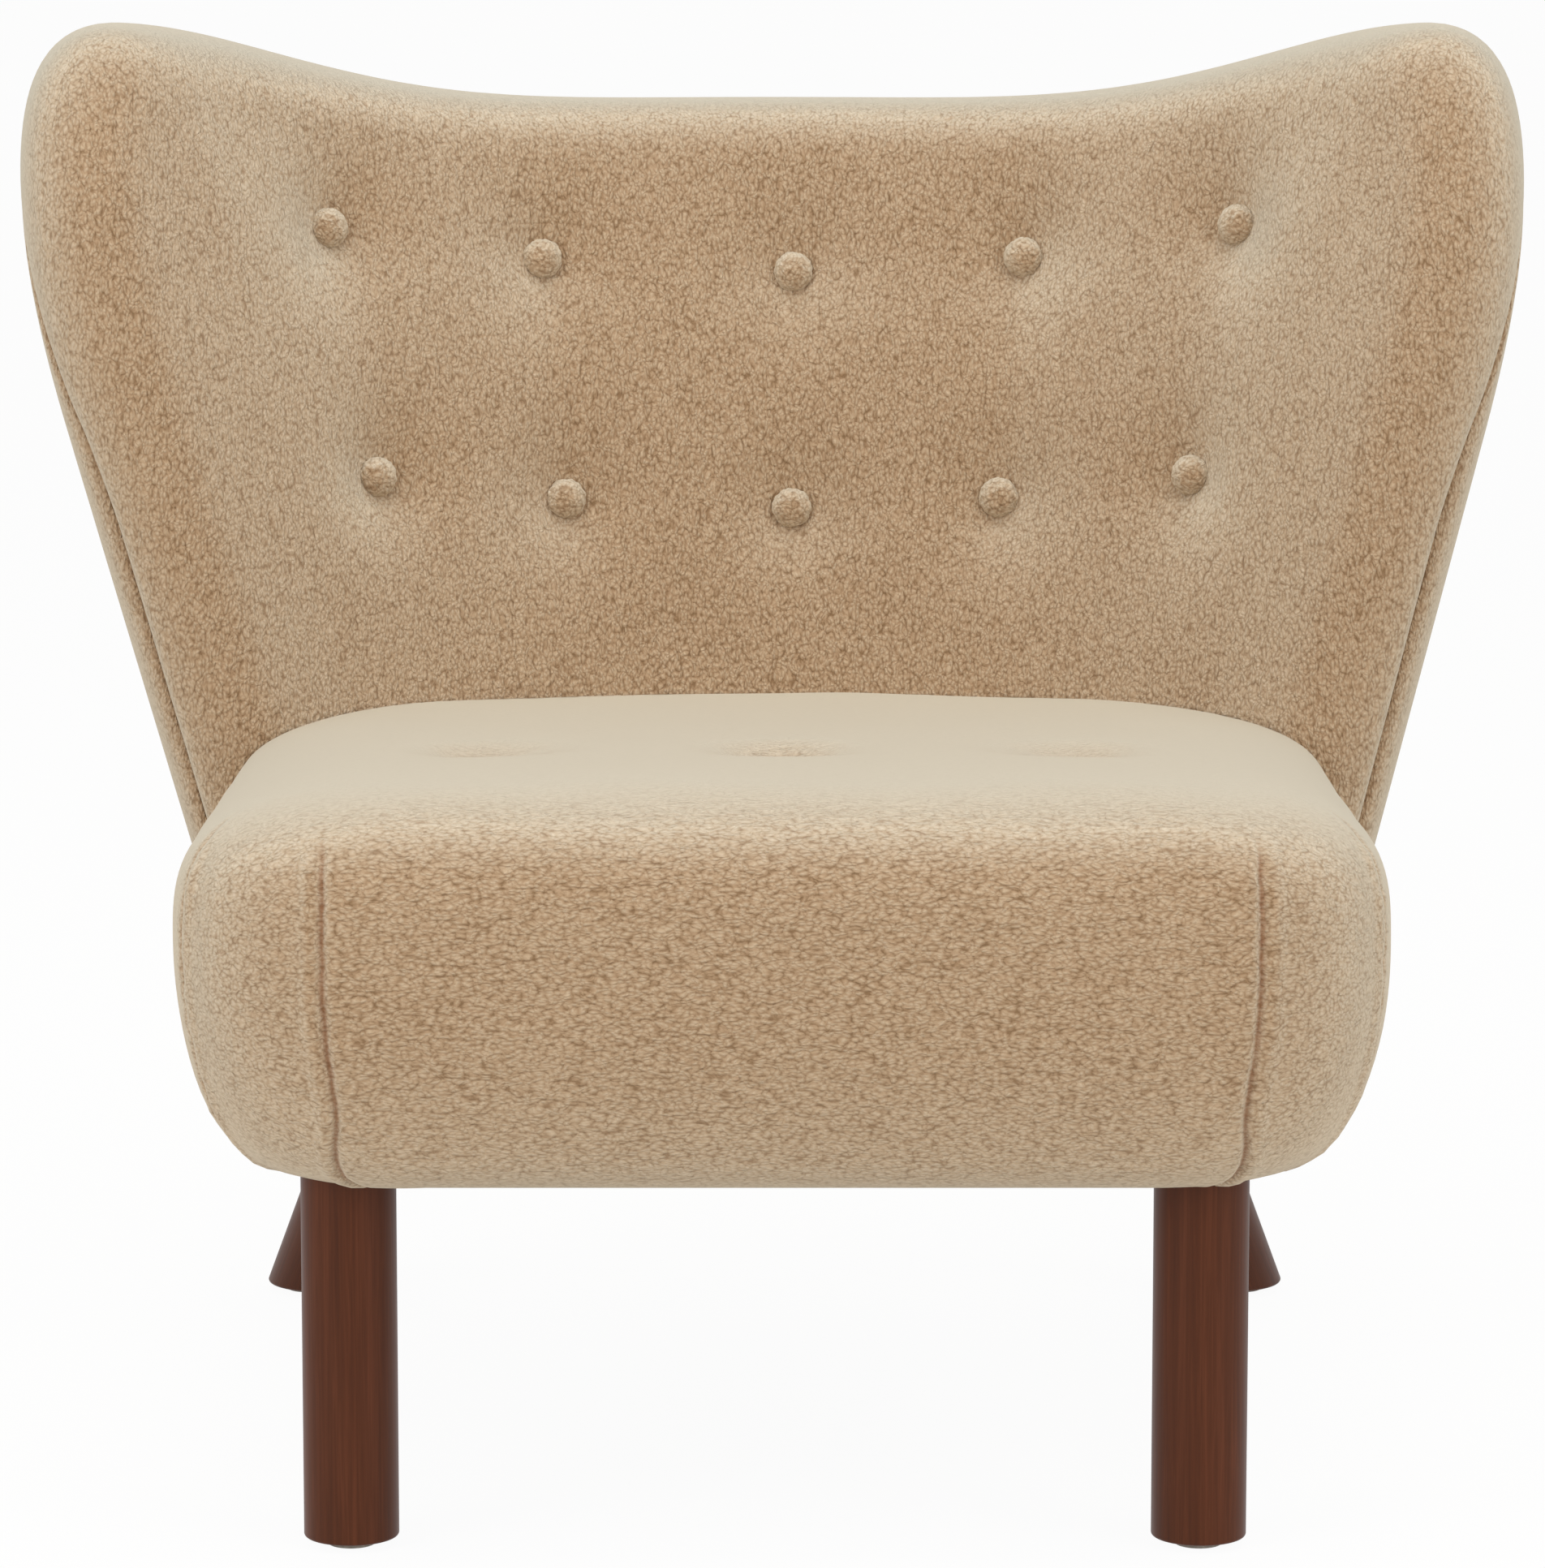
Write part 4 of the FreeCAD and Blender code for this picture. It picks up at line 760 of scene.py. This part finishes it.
def dustPiece():
    deselectAll()
    bpy.ops.mesh.primitive_grid_add(x_subdivisions=cloth["columns"], y_subdivisions=cloth["rows"], size=2)
    piece = bpy.context.active_object
    piece.name = "dustCloth"
    for v in piece.data.vertices:
        x = v.co.x * cloth["side"]
        y = (cloth["front"] + cloth["rear"]) / 2 + v.co.y * (cloth["rear"] - cloth["front"]) / 2
        ripple = cloth["ripple"] * noise.noise(Vector((x, y, 0)) / cloth["rippleSize"])
        v.co = Vector((x, y, cloth["height"] + ripple)) * mm
    wall = piece.modifiers.new("thickness", "SOLIDIFY")
    wall.thickness = cloth["thick"] * mm
    pick(piece)
    bpy.ops.object.modifier_apply(modifier=wall.name)
    closeUp(piece)
    return piece


dust = dustPiece()
dress(dust, dustCloth)
print("dust cloth laid")

# what each piece stands for, and the body that carries it
for piece, slotName, stands in (
        (frontPad, "fleece", ("back_inner_cover", "back_foam")),
        (rearPanel, "fleece", ("back_outer_cover", "back_rear_padding")),
        (cushion, "fleece", ("seat_cover", "seat_corner_gusset_left", "seat_corner_gusset_right", "seat_foam")),
        (buttons, "fleece", ("back_buttons",)),
        (seatButtons, "fleece", ("seat_buttons",)),
        (dust, "dust_cloth", ("dust_cover",))):
    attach(piece, "root")
    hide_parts(*stands)

# CAD pieces that stay, each with its own finish, by the start of the node's name
finishes = {"base_board": plywood, "back_rib": plywood, "back_lower_posts": plywood, "back_upper_posts": plywood,
            "wing_post": plywood, "seat_front_rail": beech, "seat_rear_rail": beech, "seat_rail": beech,
            "leg_block": beech, "back_liner_board": hardboard, "seat_webbing": webbing, "seat_felt_pad": felt,
            "leg_hanger_bolts": zincSteel, "leg_tee_nuts": zincSteel, "rail_screws": zincSteel,
            "back_rib_screws": zincSteel, "back_button_twines": twine, "seat_button_twines": twine,
            "back_twine_washers": nylon, "seat_twine_toggles": nylon, "glide": glidePlastic,
            "leg_front": walnutFront, "leg_rear_left": walnutRear[-1], "leg_rear_right": walnutRear[1]}
for nodeName, cadNode in nodes.items():
    found = [key for key in finishes if nodeName.startswith(key)]
    if found:
        dress(cadNode, finishes[max(found, key=len)])
print("finishes on the CAD pieces that stay")


# floor and light; each lamp has its place, target and size in metres, and its watts
stage = {"floor": "#F4F2EE", "rough": 0.9, "size": 80.0, "glow": 0.95, "world": 0.55,
         "lamps": {"topSoftbox": ((0, -0.5, 2.9), (0, 0.05, 0.3), (2.6, 2.2), 34),
                   "leftSoftbox": ((-2.2, -2.2, 1.6), (0, 0, 0.4), (1.6, 2.0), 34),
                   "rightSoftbox": ((2.4, -2.0, 1.5), (0, 0, 0.4), (1.6, 2.0), 29)}}
plainWhite = (1, 1, 1, 1)


# the floor glows to the camera and in reflections only, so that it looks white with faint shadows
def layFloor():
    deselectAll()
    bpy.ops.mesh.primitive_plane_add(size=stage["size"])
    floor = bpy.context.active_object
    floor.name = "studioFloor"
    material, tree, shader = newMaterial("paleStudioFloor", {"Roughness": stage["rough"]})
    shader.inputs["Base Color"].default_value = hexColor(stage["floor"])
    rays = node(tree, "ShaderNodeLightPath").outputs
    seen = node(tree, "ShaderNodeMath", (rays["Is Camera Ray"], rays["Is Glossy Ray"]), operation="MAXIMUM")
    share = node(tree, "ShaderNodeMath", (seen.outputs[0], stage["glow"]), operation="MULTIPLY")
    glow = node(tree, "ShaderNodeEmission", {"Color": plainWhite, "Strength": 1.0})
    mix = node(tree, "ShaderNodeMixShader", (share.outputs[0], shader.outputs[0], glow.outputs[0]))
    tree.links.new(mix.outputs[0], tree.nodes["Material Output"].inputs["Surface"])
    dress(floor, material)


def lightWorld(strength):
    world = bpy.data.worlds.new("studioWorld")
    scene.world = world
    world.use_nodes = True
    tree = world.node_tree
    rays = node(tree, "ShaderNodeLightPath").outputs
    seen = node(tree, "ShaderNodeMath", (rays["Is Camera Ray"], rays["Is Transmission Ray"]), operation="MAXIMUM")
    level = node(tree, "ShaderNodeMapRange", (seen.outputs[0], 0, 1, strength, 1))
    tree.links.new(level.outputs["Result"], tree.nodes["Background"].inputs["Strength"])
    tree.nodes["Background"].inputs["Color"].default_value = plainWhite


def addLamp(name, place, target, size, watts):
    data = bpy.data.lights.new(name, "AREA")
    data.shape = "RECTANGLE"
    data.size, data.size_y = size
    data.energy = watts
    lamp = bpy.data.objects.new(name, data)
    scene.collection.objects.link(lamp)
    lamp.location = place
    lamp.rotation_euler = (Vector(target) - Vector(place)).to_track_quat("-Z", "Y").to_euler()


layFloor()
lightWorld(stage["world"])
for lampName, lamp in stage["lamps"].items():
    addLamp(lampName, *lamp)

view = {"place": (-0.0012, -3.378, 0.839), "pitch": 8.72, "lens": 154.66, "sensor": 36, "farthest": 200}
cameraData = bpy.data.cameras.new("photoCamera")
cameraData.lens = view["lens"]
cameraData.sensor_width = view["sensor"]
cameraData.clip_end = view["farthest"]
camera = bpy.data.objects.new("photoCamera", cameraData)
scene.collection.objects.link(camera)
camera.location = view["place"]
camera.rotation_euler = (math.radians(90 - view["pitch"]), 0, 0)
scene.camera = camera
print("floor, light and camera set")
